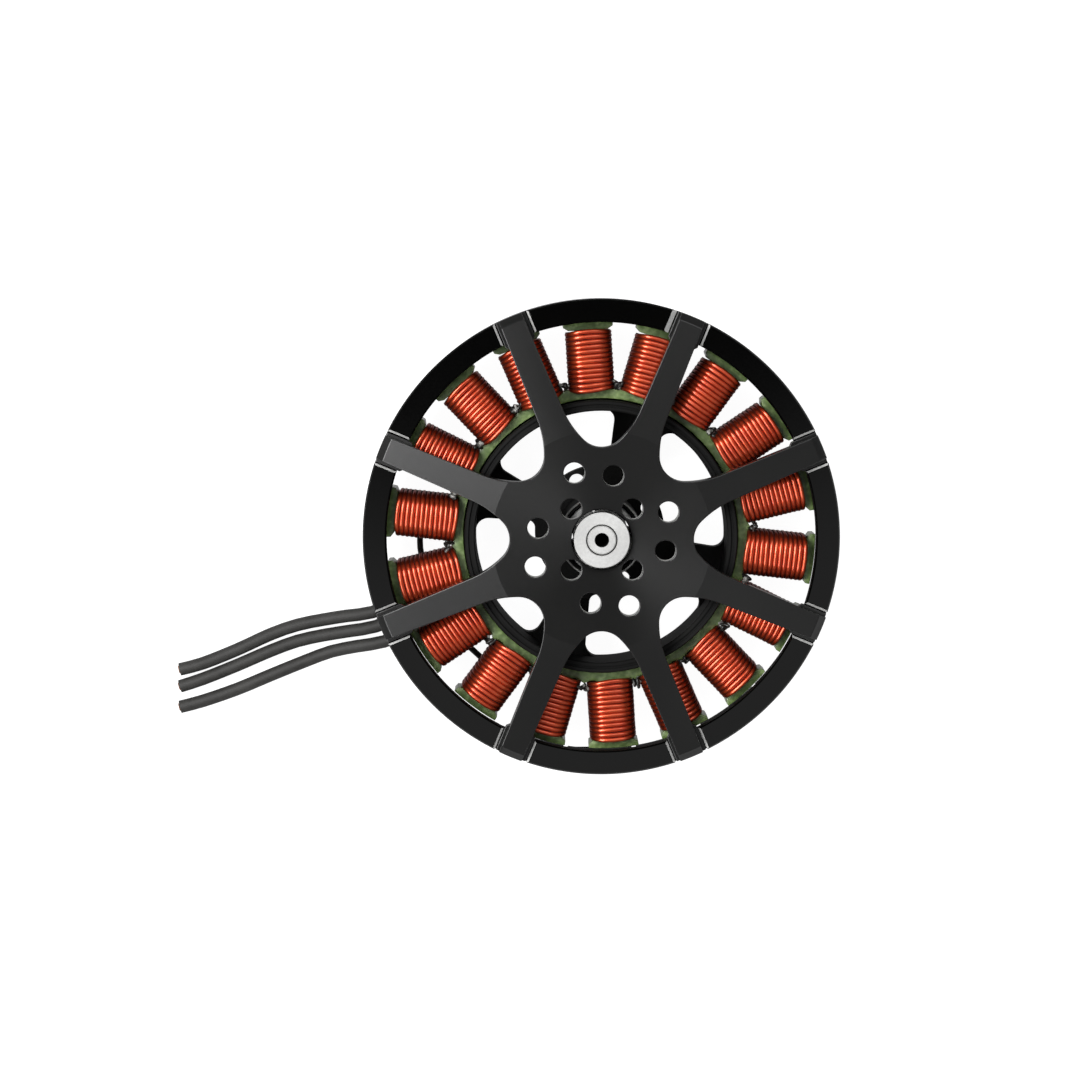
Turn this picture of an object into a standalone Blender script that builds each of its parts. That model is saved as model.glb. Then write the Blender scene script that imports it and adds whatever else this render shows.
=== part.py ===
"""Open-frame outrunner motor: a spoked can with magnets turns round a wound eighteen-tooth stator."""

import math

import bmesh
import bpy
from mathutils import Matrix, Vector

MM = 0.001
TURN = 2 * math.pi

# Gaps between touching or running pieces
FIT = 0.25 * MM
SEAM = 0.3 * MM
AIR_GAP = 0.6 * MM
END_GAP = 0.6 * MM

# Rotor can and magnets
CAN_RADIUS = 50.0 * MM
CAN_WALL = 2.6 * MM
CAN_SKIRT = 0.5 * MM
LIP_THICK = 3.4 * MM
LIP_COVER = 0.2 * MM
EDGE_CHAMFER = 0.4 * MM
MAGNET_COUNT = 20
MAGNET_THICK = 2.3 * MM
MAGNET_SPACING = 0.9 * MM
MAGNET_INSET = 1.5 * MM

# Stator laminations
TOOTH_COUNT = 18
FIRST_TOOTH = math.radians(13.6)
STACK_LIFT = 11.0 * MM
STACK_HEIGHT = 9.0 * MM
TOOTH_SHARE = 0.4525
SHOE_WIDTH = 10.4 * MM
SHOE_TIP = 0.8 * MM
SHOE_FLARE = 0.6 * MM
YOKE_WIDTH = 1.4 * MM

# Tooth windings
COIL_TURNS = 9
COIL_LENGTH = 11.8 * MM
COIL_CLEARANCE = 1.3 * MM
COIL_END_BUILD = 3.2 * MM
WIRE_VALLEY = 0.4 * MM
COIL_CORNER = 2.2 * MM

# Spider that carries the can
ARM_COUNT = 8
FIRST_ARM = math.radians(22.5)
HUB_FLAT_RADIUS = 22.8 * MM
HUB_THICK = 3.6 * MM
ARM_DROP = 3.0 * MM
RIB_RISE = 2.0 * MM
RIM_CHAMFER = 1.3 * MM
WINDOW_START = 19.2 * MM
WINDOW_ROUND = 5.3 * MM
WINDOW_FLARE = 20.0 * MM
ARM_WIDTH_ROOT = 5.8 * MM
ARM_WIDTH_TIP = 5.1 * MM
NOTCH_WIDTH = 7.2 * MM
FOOT_THICK = 1.9 * MM
FOOT_REACH = 6.4 * MM
FOOT_CHAMFER = 0.7 * MM
HOLE_RADIUS = 2.25 * MM
INNER_HOLES_PCD = 18.0 * MM
MIDDLE_HOLES_PCD = 27.0 * MM
OUTER_HOLES_PCD = 30.0 * MM
INNER_HOLES_START = math.radians(45)
MIDDLE_HOLES_START = math.radians(-10)
OUTER_HOLES_START = math.radians(22.5)
HOLES_PER_CIRCLE = 4

# Shaft, propeller boss and bearings
SHAFT_RADIUS = 3.0 * MM
SHAFT_FLOOR = 0.6 * MM
SHAFT_RECESS = 0.1 * MM
CENTRE_HOLE_RADIUS = 1.6 * MM
CENTRE_HOLE_DEPTH = 8.0 * MM
BOSS_RADIUS = 6.0 * MM
BOSS_RISE = 1.5 * MM
BOSS_SHOULDER = 2.0 * MM
BOSS_SHANK_RADIUS = 5.2 * MM
BOSS_CHAMFER = 0.3 * MM
BEARING_WIDTH = 5.0 * MM
BEARING_RADIUS = 7.5 * MM
RACE_THICK = 1.2 * MM
BALL_COUNT = 7
BALL_RADIUS = 1.2 * MM
BALL_PLAY = 0.3 * MM
CAGE_WIDTH = 1.0 * MM
CAGE_HEIGHT = 1.6 * MM
REAR_BEARING_LIFT = 3.0 * MM
HUB_TO_BEARING = 3.4 * MM
SHIM_THICK = 0.6 * MM
SHIM_WIDTH = 1.9 * MM
CLIP_THICK = 0.7 * MM
CLIP_WIDTH = 1.9 * MM
CLIP_GROOVE = 0.6 * MM
CLIP_OPENING = math.radians(50)

# Stator carrier
TUBE_WALL = 1.0 * MM
TUBE_STEP = 1.5 * MM
TUBE_LIP = 0.25 * MM
DISC_EDGE = 1.15 * MM
DISC_THICK = 5.0 * MM
CARRIER_ARM_COUNT = 4
FIRST_CARRIER_ARM = math.radians(70)
CARRIER_ARM_WIDTH = 9.8 * MM
CARRIER_ARM_THICK = 4.2 * MM
CARRIER_ARM_LEDGE = 1.1 * MM
CARRIER_HUB_FILLET = 3.0 * MM
CARRIER_RING_FILLET = 2.5 * MM
FILLET_LIMIT = 0.35
RING_WALL = 2.2 * MM
RING_PROUD = 0.6 * MM
RING_SHOULDER = 1.4 * MM
RING_SHOULDER_HEIGHT = 2.0 * MM
RING_GROOVE_WIDTH = 0.5 * MM
RING_GROOVE_DEPTH = 0.4 * MM
MOUNT_HOLE_RADIUS = 1.65 * MM
MOUNT_HOLES_PCD = 23.2 * MM
MOUNT_HOLES_START = math.radians(25)

# Winding jumpers and leads
JUMPER_RADIUS = 0.65 * MM
JUMPER_DROP = 0.4 * MM
LEAD_DIAMETER = 2.8 * MM
LEAD_POINT_SPACING = 7.0 * MM

# Facets round a full turn
CAN_STEPS = 64
SPIDER_STEPS = 32
CARRIER_STEPS = 36
BORE_STEPS = 48
SMALL_STEPS = 20
HOLE_STEPS = 14
FLAT_LIMIT = math.radians(0.3)

# Radii that follow from the can, outside to inside
CAN_BORE = CAN_RADIUS - CAN_WALL
MAGNET_OUTER = CAN_BORE - SEAM
MAGNET_INNER = MAGNET_OUTER - MAGNET_THICK
LIP_INNER = MAGNET_INNER - LIP_COVER
STATOR_RADIUS = MAGNET_INNER - AIR_GAP
SHOE_UNDERSIDE = STATOR_RADIUS - SHOE_TIP - SHOE_FLARE
COIL_OUTER = SHOE_UNDERSIDE - SEAM
COIL_INNER = COIL_OUTER - COIL_LENGTH
HALF_SLOT_PITCH = TURN / TOOTH_COUNT / 2
SLOT_PITCH_LENGTH = 2 * COIL_INNER * math.tan(HALF_SLOT_PITCH)
TOOTH_WIDTH = TOOTH_SHARE * SLOT_PITCH_LENGTH
COIL_SIDE_BUILD = (SLOT_PITCH_LENGTH - COIL_CLEARANCE - TOOTH_WIDTH) / 2 - SEAM
YOKE_OUTER = COIL_INNER - SEAM
YOKE_BORE = YOKE_OUTER - YOKE_WIDTH
RING_OUTER = YOKE_BORE - SEAM
RING_INNER = RING_OUTER - RING_WALL
RING_MIDDLE = RING_OUTER - RING_WALL / 2
DISC_RADIUS = MOUNT_HOLES_PCD / 2 + MOUNT_HOLE_RADIUS + DISC_EDGE

# Heights that follow from the base face, bottom to top
STACK_TOP = STACK_LIFT + STACK_HEIGHT
COIL_RISE = COIL_END_BUILD + SEAM
COIL_BOTTOM = STACK_LIFT - COIL_RISE
COIL_TOP = STACK_TOP + COIL_RISE
CAN_BOTTOM = COIL_BOTTOM - CAN_SKIRT
FOOT_BOTTOM = COIL_TOP + END_GAP
CAN_FRONT = FOOT_BOTTOM + FOOT_THICK
RIB_TOP = CAN_FRONT + RIB_RISE
HUB_TOP = RIB_TOP + ARM_DROP
HUB_BOTTOM = HUB_TOP - HUB_THICK
BOSS_TOP = HUB_TOP + BOSS_RISE
LIP_BOTTOM = CAN_FRONT - LIP_THICK
FRONT_BEARING_TOP = HUB_BOTTOM - HUB_TO_BEARING
FRONT_BEARING_BOTTOM = FRONT_BEARING_TOP - BEARING_WIDTH
REAR_BEARING_TOP = REAR_BEARING_LIFT + BEARING_WIDTH
SHIM_BOTTOM = FRONT_BEARING_TOP + FIT
SHIM_TOP = SHIM_BOTTOM + SHIM_THICK
CLIP_TOP = REAR_BEARING_LIFT - FIT
CLIP_BOTTOM = CLIP_TOP - CLIP_THICK
RACE_BORE = SHAFT_RADIUS + FIT
TUBE_BORE = BEARING_RADIUS + FIT
TUBE_RADIUS = TUBE_BORE + TUBE_WALL
RING_TOP = STACK_TOP + RING_PROUD
SHOULDER_TOP = STACK_LIFT - SEAM
RING_BOTTOM = SHOULDER_TOP - RING_SHOULDER_HEIGHT

# Route of each lead from the winding to its cut end: x, y and z in millimetres
LEAD_ROUTES = (
    (
        (-36.6, -12.2, 4.0), (-42.5, -15.1, 3.6), (-49.1, -17.9, 3.3), (-54.8, -18.8, 2.7),
        (-60.0, -19.7, 2.0), (-65.6, -20.9, 1.55), (-71.3, -22.9, 1.45), (-78.7, -26.3, 1.45),
        (-86.2, -29.3, 1.45), (-91.1, -30.6, 1.45),
    ),
    (
        (-35.7, -15.4, 4.0), (-41.8, -18.2, 3.6), (-48.4, -21.0, 3.3), (-54.3, -22.1, 2.7),
        (-60.0, -23.1, 2.0), (-65.6, -24.4, 1.55), (-71.3, -26.5, 1.45), (-78.7, -29.7, 1.45),
        (-86.2, -32.7, 1.45), (-91.1, -34.3, 1.45),
    ),
    (
        (-34.2, -18.6, 4.0), (-40.0, -21.5, 3.6), (-46.6, -24.3, 3.3), (-52.5, -25.4, 2.7),
        (-58.1, -26.6, 2.0), (-63.7, -28.7, 1.55), (-71.3, -31.8, 1.45), (-78.7, -34.9, 1.45),
        (-86.2, -37.5, 1.45), (-91.1, -38.8, 1.45),
    ),
)

# Sleeved jumpers under the windings: angle in degrees and share of the winding's length from its inner end
JUMPER_ROUTES = (
    ((171, 0.60), (179, 0.66), (188, 0.68), (202, 0.64), (216, 0.61), (230, 0.58)),
    ((196, 0.30), (207, 0.24), (218, 0.24), (229, 0.28), (239, 0.36)),
    ((131, 0.32), (138, 0.06), (146, -0.10), (154, -0.12), (161, -0.10), (169, 0.06), (176, 0.32)),
)


def clear_scene():
    for obj in list(bpy.data.objects):
        bpy.data.objects.remove(obj, do_unlink=True)


def new_collection(name):
    collection = bpy.data.collections.new(name)
    bpy.context.scene.collection.children.link(collection)
    return collection


def new_material(name, colour, roughness, metallic):
    material = bpy.data.materials.new(name)
    material.use_nodes = True
    shader = material.node_tree.nodes["Principled BSDF"]
    shader.inputs["Base Color"].default_value = (*colour, 1.0)
    shader.inputs["Roughness"].default_value = roughness
    shader.inputs["Metallic"].default_value = metallic
    material.diffuse_color = (*colour, 1.0)
    return material


def add_part(obj, material, parent=None):
    parts.objects.link(obj)
    obj.data.materials.append(material)
    obj.parent = parent
    return obj


def add_cutter(obj):
    cutters.objects.link(obj)
    obj.hide_render = True
    obj.display_type = "WIRE"
    return obj


def turned(name, section, steps, closed=True):
    """A section of (radius, height) points turned about Z, running down its outer side."""
    count = len(section)
    edges = [(i, (i + 1) % count) for i in range(count if closed else count - 1)]
    mesh = bpy.data.meshes.new(name)
    mesh.from_pydata([(radius, 0.0, height) for radius, height in section], edges, [])
    obj = bpy.data.objects.new(name, mesh)
    screw = obj.modifiers.new("turn", "SCREW")
    screw.axis = "Z"
    screw.angle = TURN
    screw.screw_offset = 0.0
    screw.steps = steps
    screw.render_steps = steps
    screw.use_merge_vertices = True
    screw.merge_threshold = 0.00001
    return obj


def plate(name, outlines, bottom, top):
    """Flat outlines of (x, y) points filled between two heights; an inner outline is a hole."""
    curve = bpy.data.curves.new(name, "CURVE")
    curve.dimensions = "2D"
    curve.fill_mode = "BOTH"
    curve.extrude = (top - bottom) / 2
    for outline in outlines:
        spline = curve.splines.new("POLY")
        spline.points.add(len(outline) - 1)
        for point, (x, y) in zip(spline.points, outline):
            point.co = (x, y, 0.0, 1.0)
        spline.use_cyclic_u = True
    obj = bpy.data.objects.new(name, curve)
    obj.location.z = (top + bottom) / 2
    return obj


def as_mesh(curve_object):
    """The curve object's evaluated mesh as an object of its own, with its caps welded to its sides."""
    collection = bpy.context.scene.collection
    collection.objects.link(curve_object)
    bpy.context.view_layer.update()
    depsgraph = bpy.context.evaluated_depsgraph_get()
    mesh = bpy.data.meshes.new_from_object(curve_object.evaluated_get(depsgraph))
    welded = bmesh.new()
    welded.from_mesh(mesh)
    bmesh.ops.remove_doubles(welded, verts=welded.verts, dist=0.000001)
    bmesh.ops.recalc_face_normals(welded, faces=welded.faces)
    welded.to_mesh(mesh)
    welded.free()
    name = curve_object.name
    placed = curve_object.matrix_world.copy()
    bpy.data.objects.remove(curve_object, do_unlink=True)
    mesh.name = name
    obj = bpy.data.objects.new(name, mesh)
    obj.matrix_world = placed
    return obj


def combine(obj, other, operation):
    boolean = obj.modifiers.new(other.name, "BOOLEAN")
    boolean.object = other
    boolean.operation = operation
    boolean.solver = "EXACT"


def merge_flat_faces(obj):
    """Neighbouring faces that lie in one plane become one face."""
    dissolve = obj.modifiers.new("flat_faces", "DECIMATE")
    dissolve.decimate_type = "DISSOLVE"
    dissolve.angle_limit = FLAT_LIMIT


def polar(radius, angle):
    return (radius * math.cos(angle), radius * math.sin(angle))


def rotated(points, angle):
    cosine, sine = math.cos(angle), math.sin(angle)
    return [(x * cosine - y * sine, x * sine + y * cosine) for x, y in points]


def arc(centre, radius, start, end, steps):
    """Points along an arc, both ends included."""
    points = []
    for i in range(steps + 1):
        x, y = polar(radius, start + (end - start) * i / steps)
        points.append((centre[0] + x, centre[1] + y))
    return points


def mirrored(points):
    """The same points on the other side of the X axis, in the order that carries an outline on round."""
    return [(x, -y) for x, y in reversed(points)]


def hole_cutters(name, circles, radius, bottom, top):
    """Upright cylinders on (bolt circle diameter, first angle) circles, as one mesh."""
    holes = bmesh.new()
    for diameter, start in circles:
        for i in range(HOLES_PER_CIRCLE):
            x, y = polar(diameter / 2, start + TURN * i / HOLES_PER_CIRCLE)
            bmesh.ops.create_cone(
                holes,
                cap_ends=True,
                segments=HOLE_STEPS,
                radius1=radius,
                radius2=radius,
                depth=top - bottom,
                matrix=Matrix.Translation((x, y, (bottom + top) / 2)),
            )
    mesh = bpy.data.meshes.new(name)
    holes.to_mesh(mesh)
    holes.free()
    return add_cutter(bpy.data.objects.new(name, mesh))


def window_side():
    """Upper side of one window along +X: rim end of the arm, flare, then round to the axis."""
    half_pitch = TURN / ARM_COUNT / 2
    root, tip = ARM_WIDTH_ROOT / 2, ARM_WIDTH_TIP / 2
    centre_x = WINDOW_START + WINDOW_ROUND
    spread = WINDOW_FLARE - WINDOW_ROUND
    lean = math.asin((root + WINDOW_FLARE - centre_x * math.sin(half_pitch)) / spread) - half_pitch
    flare_centre = (centre_x + spread * math.cos(lean), -spread * math.sin(lean))
    arm_normal = half_pitch + math.pi / 2
    rim_x, rim_y = polar(CAN_RADIUS + RIM_CHAMFER, half_pitch)
    side = [(rim_x - tip * math.cos(arm_normal), rim_y - tip * math.sin(arm_normal))]
    side += arc(flare_centre, WINDOW_FLARE, arm_normal, math.pi - lean, 4)
    side += arc((centre_x, 0.0), WINDOW_ROUND, math.pi - lean, math.pi, 3)[1:]
    return side


def spider_outline():
    side = window_side()
    window = side + mirrored(side)[1:]
    outline = []
    for i in range(ARM_COUNT):
        outline += rotated(window, -TURN * i / ARM_COUNT)
    return outline


def foot_outline():
    """A foot on +X: it fills the can's notch with a seam each side, its inner corners chamfered."""
    half = NOTCH_WIDTH / 2 - SEAM
    inner = CAN_RADIUS - FOOT_REACH
    outer = CAN_RADIUS - SEAM / 2
    reach = math.asin(half / outer)
    foot = [(inner, -half + FOOT_CHAMFER), (inner + FOOT_CHAMFER, -half)]
    foot += arc((0.0, 0.0), outer, -reach, reach, 2)
    foot += [(inner + FOOT_CHAMFER, half), (inner, half - FOOT_CHAMFER)]
    return foot


def build_spider(material, parent):
    shoulder = HUB_TOP - BOSS_SHOULDER
    arm_underside = FOOT_BOTTOM + SEAM
    section = [
        (BOSS_RADIUS + FIT, HUB_TOP),
        (HUB_FLAT_RADIUS, HUB_TOP),
        (CAN_RADIUS - RIM_CHAMFER, RIB_TOP),
        (CAN_RADIUS, RIB_TOP - RIM_CHAMFER),
        (CAN_RADIUS, arm_underside),
        (CAN_RADIUS - FOOT_REACH, arm_underside),
        (WINDOW_START, HUB_BOTTOM),
        (BOSS_SHANK_RADIUS + FIT, HUB_BOTTOM),
        (BOSS_SHANK_RADIUS + FIT, shoulder),
        (BOSS_RADIUS + FIT, shoulder),
    ]
    spider = add_part(turned("spider", section, SPIDER_STEPS), material, parent)
    star = add_cutter(as_mesh(plate("spider_star", [spider_outline()], FOOT_BOTTOM - HUB_THICK, BOSS_TOP)))
    combine(spider, star, "INTERSECT")
    feet = [rotated(foot_outline(), FIRST_ARM + TURN * i / ARM_COUNT) for i in range(ARM_COUNT)]
    combine(spider, add_cutter(as_mesh(plate("spider_feet", feet, FOOT_BOTTOM, CAN_FRONT))), "UNION")
    circles = (
        (INNER_HOLES_PCD, INNER_HOLES_START),
        (MIDDLE_HOLES_PCD, MIDDLE_HOLES_START),
        (OUTER_HOLES_PCD, OUTER_HOLES_START),
    )
    holes = hole_cutters("spider_holes", circles, HOLE_RADIUS, HUB_BOTTOM - HUB_THICK, BOSS_TOP)
    combine(spider, holes, "DIFFERENCE")
    merge_flat_faces(spider)


def build_can(material, parent):
    section = [
        (LIP_INNER, CAN_FRONT),
        (CAN_RADIUS - EDGE_CHAMFER, CAN_FRONT),
        (CAN_RADIUS, CAN_FRONT - EDGE_CHAMFER),
        (CAN_RADIUS, CAN_BOTTOM + EDGE_CHAMFER),
        (CAN_RADIUS - EDGE_CHAMFER, CAN_BOTTOM),
        (CAN_BORE, CAN_BOTTOM),
        (CAN_BORE, LIP_BOTTOM),
        (LIP_INNER, LIP_BOTTOM),
    ]
    can = add_part(turned("flux_ring", section, CAN_STEPS), material, parent)
    half = NOTCH_WIDTH / 2
    inner, outer = LIP_INNER - CAN_WALL, CAN_RADIUS + CAN_WALL
    notch = [(inner, -half), (outer, -half), (outer, half), (inner, half)]
    notches = [rotated(notch, FIRST_ARM + TURN * i / ARM_COUNT) for i in range(ARM_COUNT)]
    cutter = add_cutter(as_mesh(plate("can_notches", notches, FOOT_BOTTOM - SEAM, BOSS_TOP)))
    combine(can, cutter, "DIFFERENCE")
    merge_flat_faces(can)


def build_magnets(material, parent):
    half = (TURN / MAGNET_COUNT - MAGNET_SPACING / MAGNET_INNER) / 2
    block = arc((0.0, 0.0), MAGNET_OUTER, -half, half, 3) + arc((0.0, 0.0), MAGNET_INNER, half, -half, 3)
    first = plate("magnet_01", [block], CAN_BOTTOM + MAGNET_INSET, LIP_BOTTOM - SEAM)
    add_part(first, material, parent)
    for i in range(1, MAGNET_COUNT):
        magnet = bpy.data.objects.new(f"magnet_{i + 1:02d}", first.data)
        parts.objects.link(magnet)
        magnet.parent = parent
        magnet.location = first.location
        magnet.rotation_euler.z = TURN * i / MAGNET_COUNT


def build_boss(material, parent):
    shoulder = HUB_TOP - BOSS_SHOULDER + FIT
    section = [
        (SHAFT_RADIUS + FIT, BOSS_TOP),
        (BOSS_RADIUS - BOSS_CHAMFER, BOSS_TOP),
        (BOSS_RADIUS, BOSS_TOP - BOSS_CHAMFER),
        (BOSS_RADIUS, shoulder),
        (BOSS_SHANK_RADIUS, shoulder),
        (BOSS_SHANK_RADIUS, SHIM_TOP + FIT),
        (SHAFT_RADIUS + FIT, SHIM_TOP + FIT),
    ]
    add_part(turned("prop_boss", section, SMALL_STEPS), material, parent)


def build_shaft(material, parent):
    top = BOSS_TOP - SHAFT_RECESS
    neck = SHAFT_RADIUS - CLIP_GROOVE
    section = [
        (0.0, top - CENTRE_HOLE_DEPTH),
        (CENTRE_HOLE_RADIUS, top - CENTRE_HOLE_DEPTH),
        (CENTRE_HOLE_RADIUS, top),
        (SHAFT_RADIUS - BOSS_CHAMFER, top),
        (SHAFT_RADIUS, top - BOSS_CHAMFER),
        (SHAFT_RADIUS, CLIP_TOP + FIT),
        (neck, CLIP_TOP + FIT),
        (neck, CLIP_BOTTOM - FIT),
        (SHAFT_RADIUS, CLIP_BOTTOM - FIT),
        (SHAFT_RADIUS, SHAFT_FLOOR + BOSS_CHAMFER),
        (SHAFT_RADIUS - BOSS_CHAMFER, SHAFT_FLOOR),
        (0.0, SHAFT_FLOOR),
    ]
    add_part(turned("shaft", section, SMALL_STEPS, closed=False), material, parent)


def build_shim(material, parent):
    outer = RACE_BORE + SHIM_WIDTH
    section = [(RACE_BORE, SHIM_TOP), (outer, SHIM_TOP), (outer, SHIM_BOTTOM), (RACE_BORE, SHIM_BOTTOM)]
    add_part(turned("shim_washer", section, SMALL_STEPS), material, parent)


def build_clip(material, parent):
    """Open retaining ring that sits in the shaft's groove under the rear bearing."""
    inner = SHAFT_RADIUS - CLIP_GROOVE + FIT
    start, end = CLIP_OPENING / 2, TURN - CLIP_OPENING / 2
    ring = arc((0.0, 0.0), inner + CLIP_WIDTH, start, end, 16) + arc((0.0, 0.0), inner, end, start, 16)
    add_part(plate("shaft_clip", [ring], CLIP_BOTTOM, CLIP_TOP), material, parent)


def build_bearing(end, bottom, race_material, cage_material, stator, rotor, cage_axis):
    """One deep-groove bearing: a race in the carrier, a race on the shaft, caged balls between."""
    middle = bottom + BEARING_WIDTH / 2
    half = BEARING_WIDTH / 2
    pitch = (RACE_BORE + BEARING_RADIUS) / 2
    groove = BALL_RADIUS + BALL_PLAY
    inner_land, outer_land = RACE_BORE + RACE_THICK, BEARING_RADIUS - RACE_THICK
    inner_race = [
        (RACE_BORE, middle + half), (inner_land, middle + half), (inner_land, middle + groove),
        (pitch - groove, middle), (inner_land, middle - groove), (inner_land, middle - half),
        (RACE_BORE, middle - half),
    ]
    outer_race = [
        (outer_land, middle + half), (BEARING_RADIUS, middle + half), (BEARING_RADIUS, middle - half),
        (outer_land, middle - half), (outer_land, middle - groove), (pitch + groove, middle),
        (outer_land, middle + groove),
    ]
    add_part(turned(f"{end}_bearing_inner", inner_race, SMALL_STEPS), race_material, rotor)
    add_part(turned(f"{end}_bearing_outer", outer_race, SMALL_STEPS), race_material, stator)
    inner, outer = pitch - CAGE_WIDTH / 2, pitch + CAGE_WIDTH / 2
    top, base = middle + CAGE_HEIGHT / 2, middle - CAGE_HEIGHT / 2
    cage_section = [(inner, top), (outer, top), (outer, base), (inner, base)]
    cage = add_part(turned(f"{end}_bearing_balls", cage_section, BALL_COUNT * 2), cage_material, cage_axis)
    balls = bmesh.new()
    for i in range(BALL_COUNT):
        x, y = polar(pitch, TURN * i / BALL_COUNT)
        bmesh.ops.create_uvsphere(
            balls,
            u_segments=6,
            v_segments=4,
            radius=BALL_RADIUS,
            matrix=Matrix.Translation((x, y, middle)),
        )
    mesh = bpy.data.meshes.new(f"{end}_balls")
    balls.to_mesh(mesh)
    balls.free()
    combine(cage, add_cutter(bpy.data.objects.new(f"{end}_balls", mesh)), "UNION")


def carrier_arm_side():
    """Side of one carrier arm along +X: out of the disc, along the arm and into the ring."""
    half = CARRIER_ARM_WIDTH / 2
    largest = FILLET_LIMIT * (RING_INNER - DISC_RADIUS)
    hub_fillet, ring_fillet = min(CARRIER_HUB_FILLET, largest), min(CARRIER_RING_FILLET, largest)
    hub_y, ring_y = half + hub_fillet, half + ring_fillet
    hub_reach, ring_reach = DISC_RADIUS + hub_fillet, RING_INNER - ring_fillet
    hub_x = math.sqrt(hub_reach**2 - hub_y**2)
    ring_x = math.sqrt(ring_reach**2 - ring_y**2)
    hub_angle, ring_angle = math.atan2(hub_y, hub_x), math.atan2(ring_y, ring_x)
    side = arc((hub_x, hub_y), hub_fillet, hub_angle - math.pi, -math.pi / 2, 3)
    side += arc((ring_x, ring_y), ring_fillet, -math.pi / 2, ring_angle, 3)
    side.append(polar(RING_MIDDLE, ring_angle))
    return side


def carrier_outline():
    side = carrier_arm_side()
    hub_start = math.atan2(side[0][1], side[0][0])
    arm = [(x, -y) for x, y in side] + [(RING_MIDDLE, 0.0)] + side[::-1]
    outline = []
    for i in range(CARRIER_ARM_COUNT):
        angle = FIRST_CARRIER_ARM + TURN * i / CARRIER_ARM_COUNT
        outline += rotated(arm, angle)
        gap_start, gap_end = angle + hub_start, angle + TURN / CARRIER_ARM_COUNT - hub_start
        outline += arc((0.0, 0.0), DISC_RADIUS, gap_start, gap_end, 6)[1:-1]
    return outline


def build_carrier(material, parent):
    rise_start = DISC_RADIUS + CARRIER_ARM_LEDGE
    rear_step, front_step = REAR_BEARING_TOP + FIT, FRONT_BEARING_BOTTOM - FIT
    narrow = TUBE_BORE - TUBE_STEP
    tube_top = FRONT_BEARING_TOP + TUBE_LIP
    arm_top = RING_BOTTOM + CARRIER_ARM_THICK
    section = [
        (TUBE_BORE, tube_top),
        (TUBE_RADIUS, tube_top),
        (TUBE_RADIUS, DISC_THICK),
        (rise_start, DISC_THICK),
        (RING_INNER, arm_top),
        (RING_MIDDLE, arm_top),
        (RING_MIDDLE, RING_BOTTOM + SEAM),
        (RING_INNER, RING_BOTTOM + SEAM),
        (rise_start + SEAM, 0.0),
        (TUBE_BORE, 0.0),
        (TUBE_BORE, rear_step),
        (narrow, rear_step),
        (narrow, front_step),
        (TUBE_BORE, front_step),
    ]
    carrier = add_part(turned("carrier", section, CARRIER_STEPS), material, parent)
    star = add_cutter(as_mesh(plate("carrier_star", [carrier_outline()], -DISC_THICK, BOSS_TOP)))
    combine(carrier, star, "INTERSECT")
    groove_inner = RING_MIDDLE - RING_GROOVE_WIDTH / 2
    groove_outer = groove_inner + RING_GROOVE_WIDTH
    groove_floor = RING_TOP - RING_GROOVE_DEPTH
    shoulder = RING_OUTER + RING_SHOULDER
    ring_section = [
        (RING_INNER, RING_TOP),
        (groove_inner, RING_TOP),
        (groove_inner, groove_floor),
        (groove_outer, groove_floor),
        (groove_outer, RING_TOP),
        (RING_OUTER, RING_TOP),
        (RING_OUTER, SHOULDER_TOP),
        (shoulder, SHOULDER_TOP),
        (shoulder, RING_BOTTOM),
        (RING_INNER, RING_BOTTOM),
    ]
    combine(carrier, add_cutter(turned("carrier_ring", ring_section, CARRIER_STEPS)), "UNION")
    mounts = ((MOUNT_HOLES_PCD, MOUNT_HOLES_START),)
    holes = hole_cutters("carrier_holes", mounts, MOUNT_HOLE_RADIUS, -DISC_THICK, 2 * DISC_THICK)
    combine(carrier, holes, "DIFFERENCE")
    merge_flat_faces(carrier)


def tooth_outline():
    """One tooth along +X, from the middle of one slot to its last point before the next."""
    half = TOOTH_WIDTH / 2
    tip_angle = math.asin(SHOE_WIDTH / 2 / STATOR_RADIUS)
    tip_inner = STATOR_RADIUS - SHOE_TIP
    root_x = math.sqrt(YOKE_OUTER**2 - half**2)
    root = [polar(YOKE_OUTER, -HALF_SLOT_PITCH), (root_x, -half)]
    side = [*root, (SHOE_UNDERSIDE, -half), polar(tip_inner, -tip_angle)]
    face = arc((0.0, 0.0), STATOR_RADIUS, -tip_angle, tip_angle, 4)
    return side + face + mirrored(side[1:])


def build_stator_core(material, parent):
    outline = []
    for i in range(TOOTH_COUNT):
        outline += rotated(tooth_outline(), FIRST_TOOTH + TURN * i / TOOTH_COUNT)
    bore = arc((0.0, 0.0), YOKE_BORE, 0.0, TURN, BORE_STEPS)[:-1]
    add_part(plate("stator_core", [outline, bore], STACK_LIFT, STACK_TOP), material, parent)


def coil_ring(radius, share):
    """One loop round the tooth: on the tooth's own faces at share 0, at the full build at share 1."""
    half_width = TOOTH_WIDTH / 2 + SEAM + COIL_SIDE_BUILD * share
    half_height = STACK_HEIGHT / 2 + SEAM + COIL_END_BUILD * share
    corner = SEAM + COIL_CORNER * share
    middle = STACK_LIFT + STACK_HEIGHT / 2
    quarter = [(half_width, half_height - corner), (half_width - corner, half_height)]
    half = quarter + [(-y, z) for y, z in reversed(quarter)]
    return [Vector((radius, y, middle + z)) for y, z in half + [(-y, -z) for y, z in half]]


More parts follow.
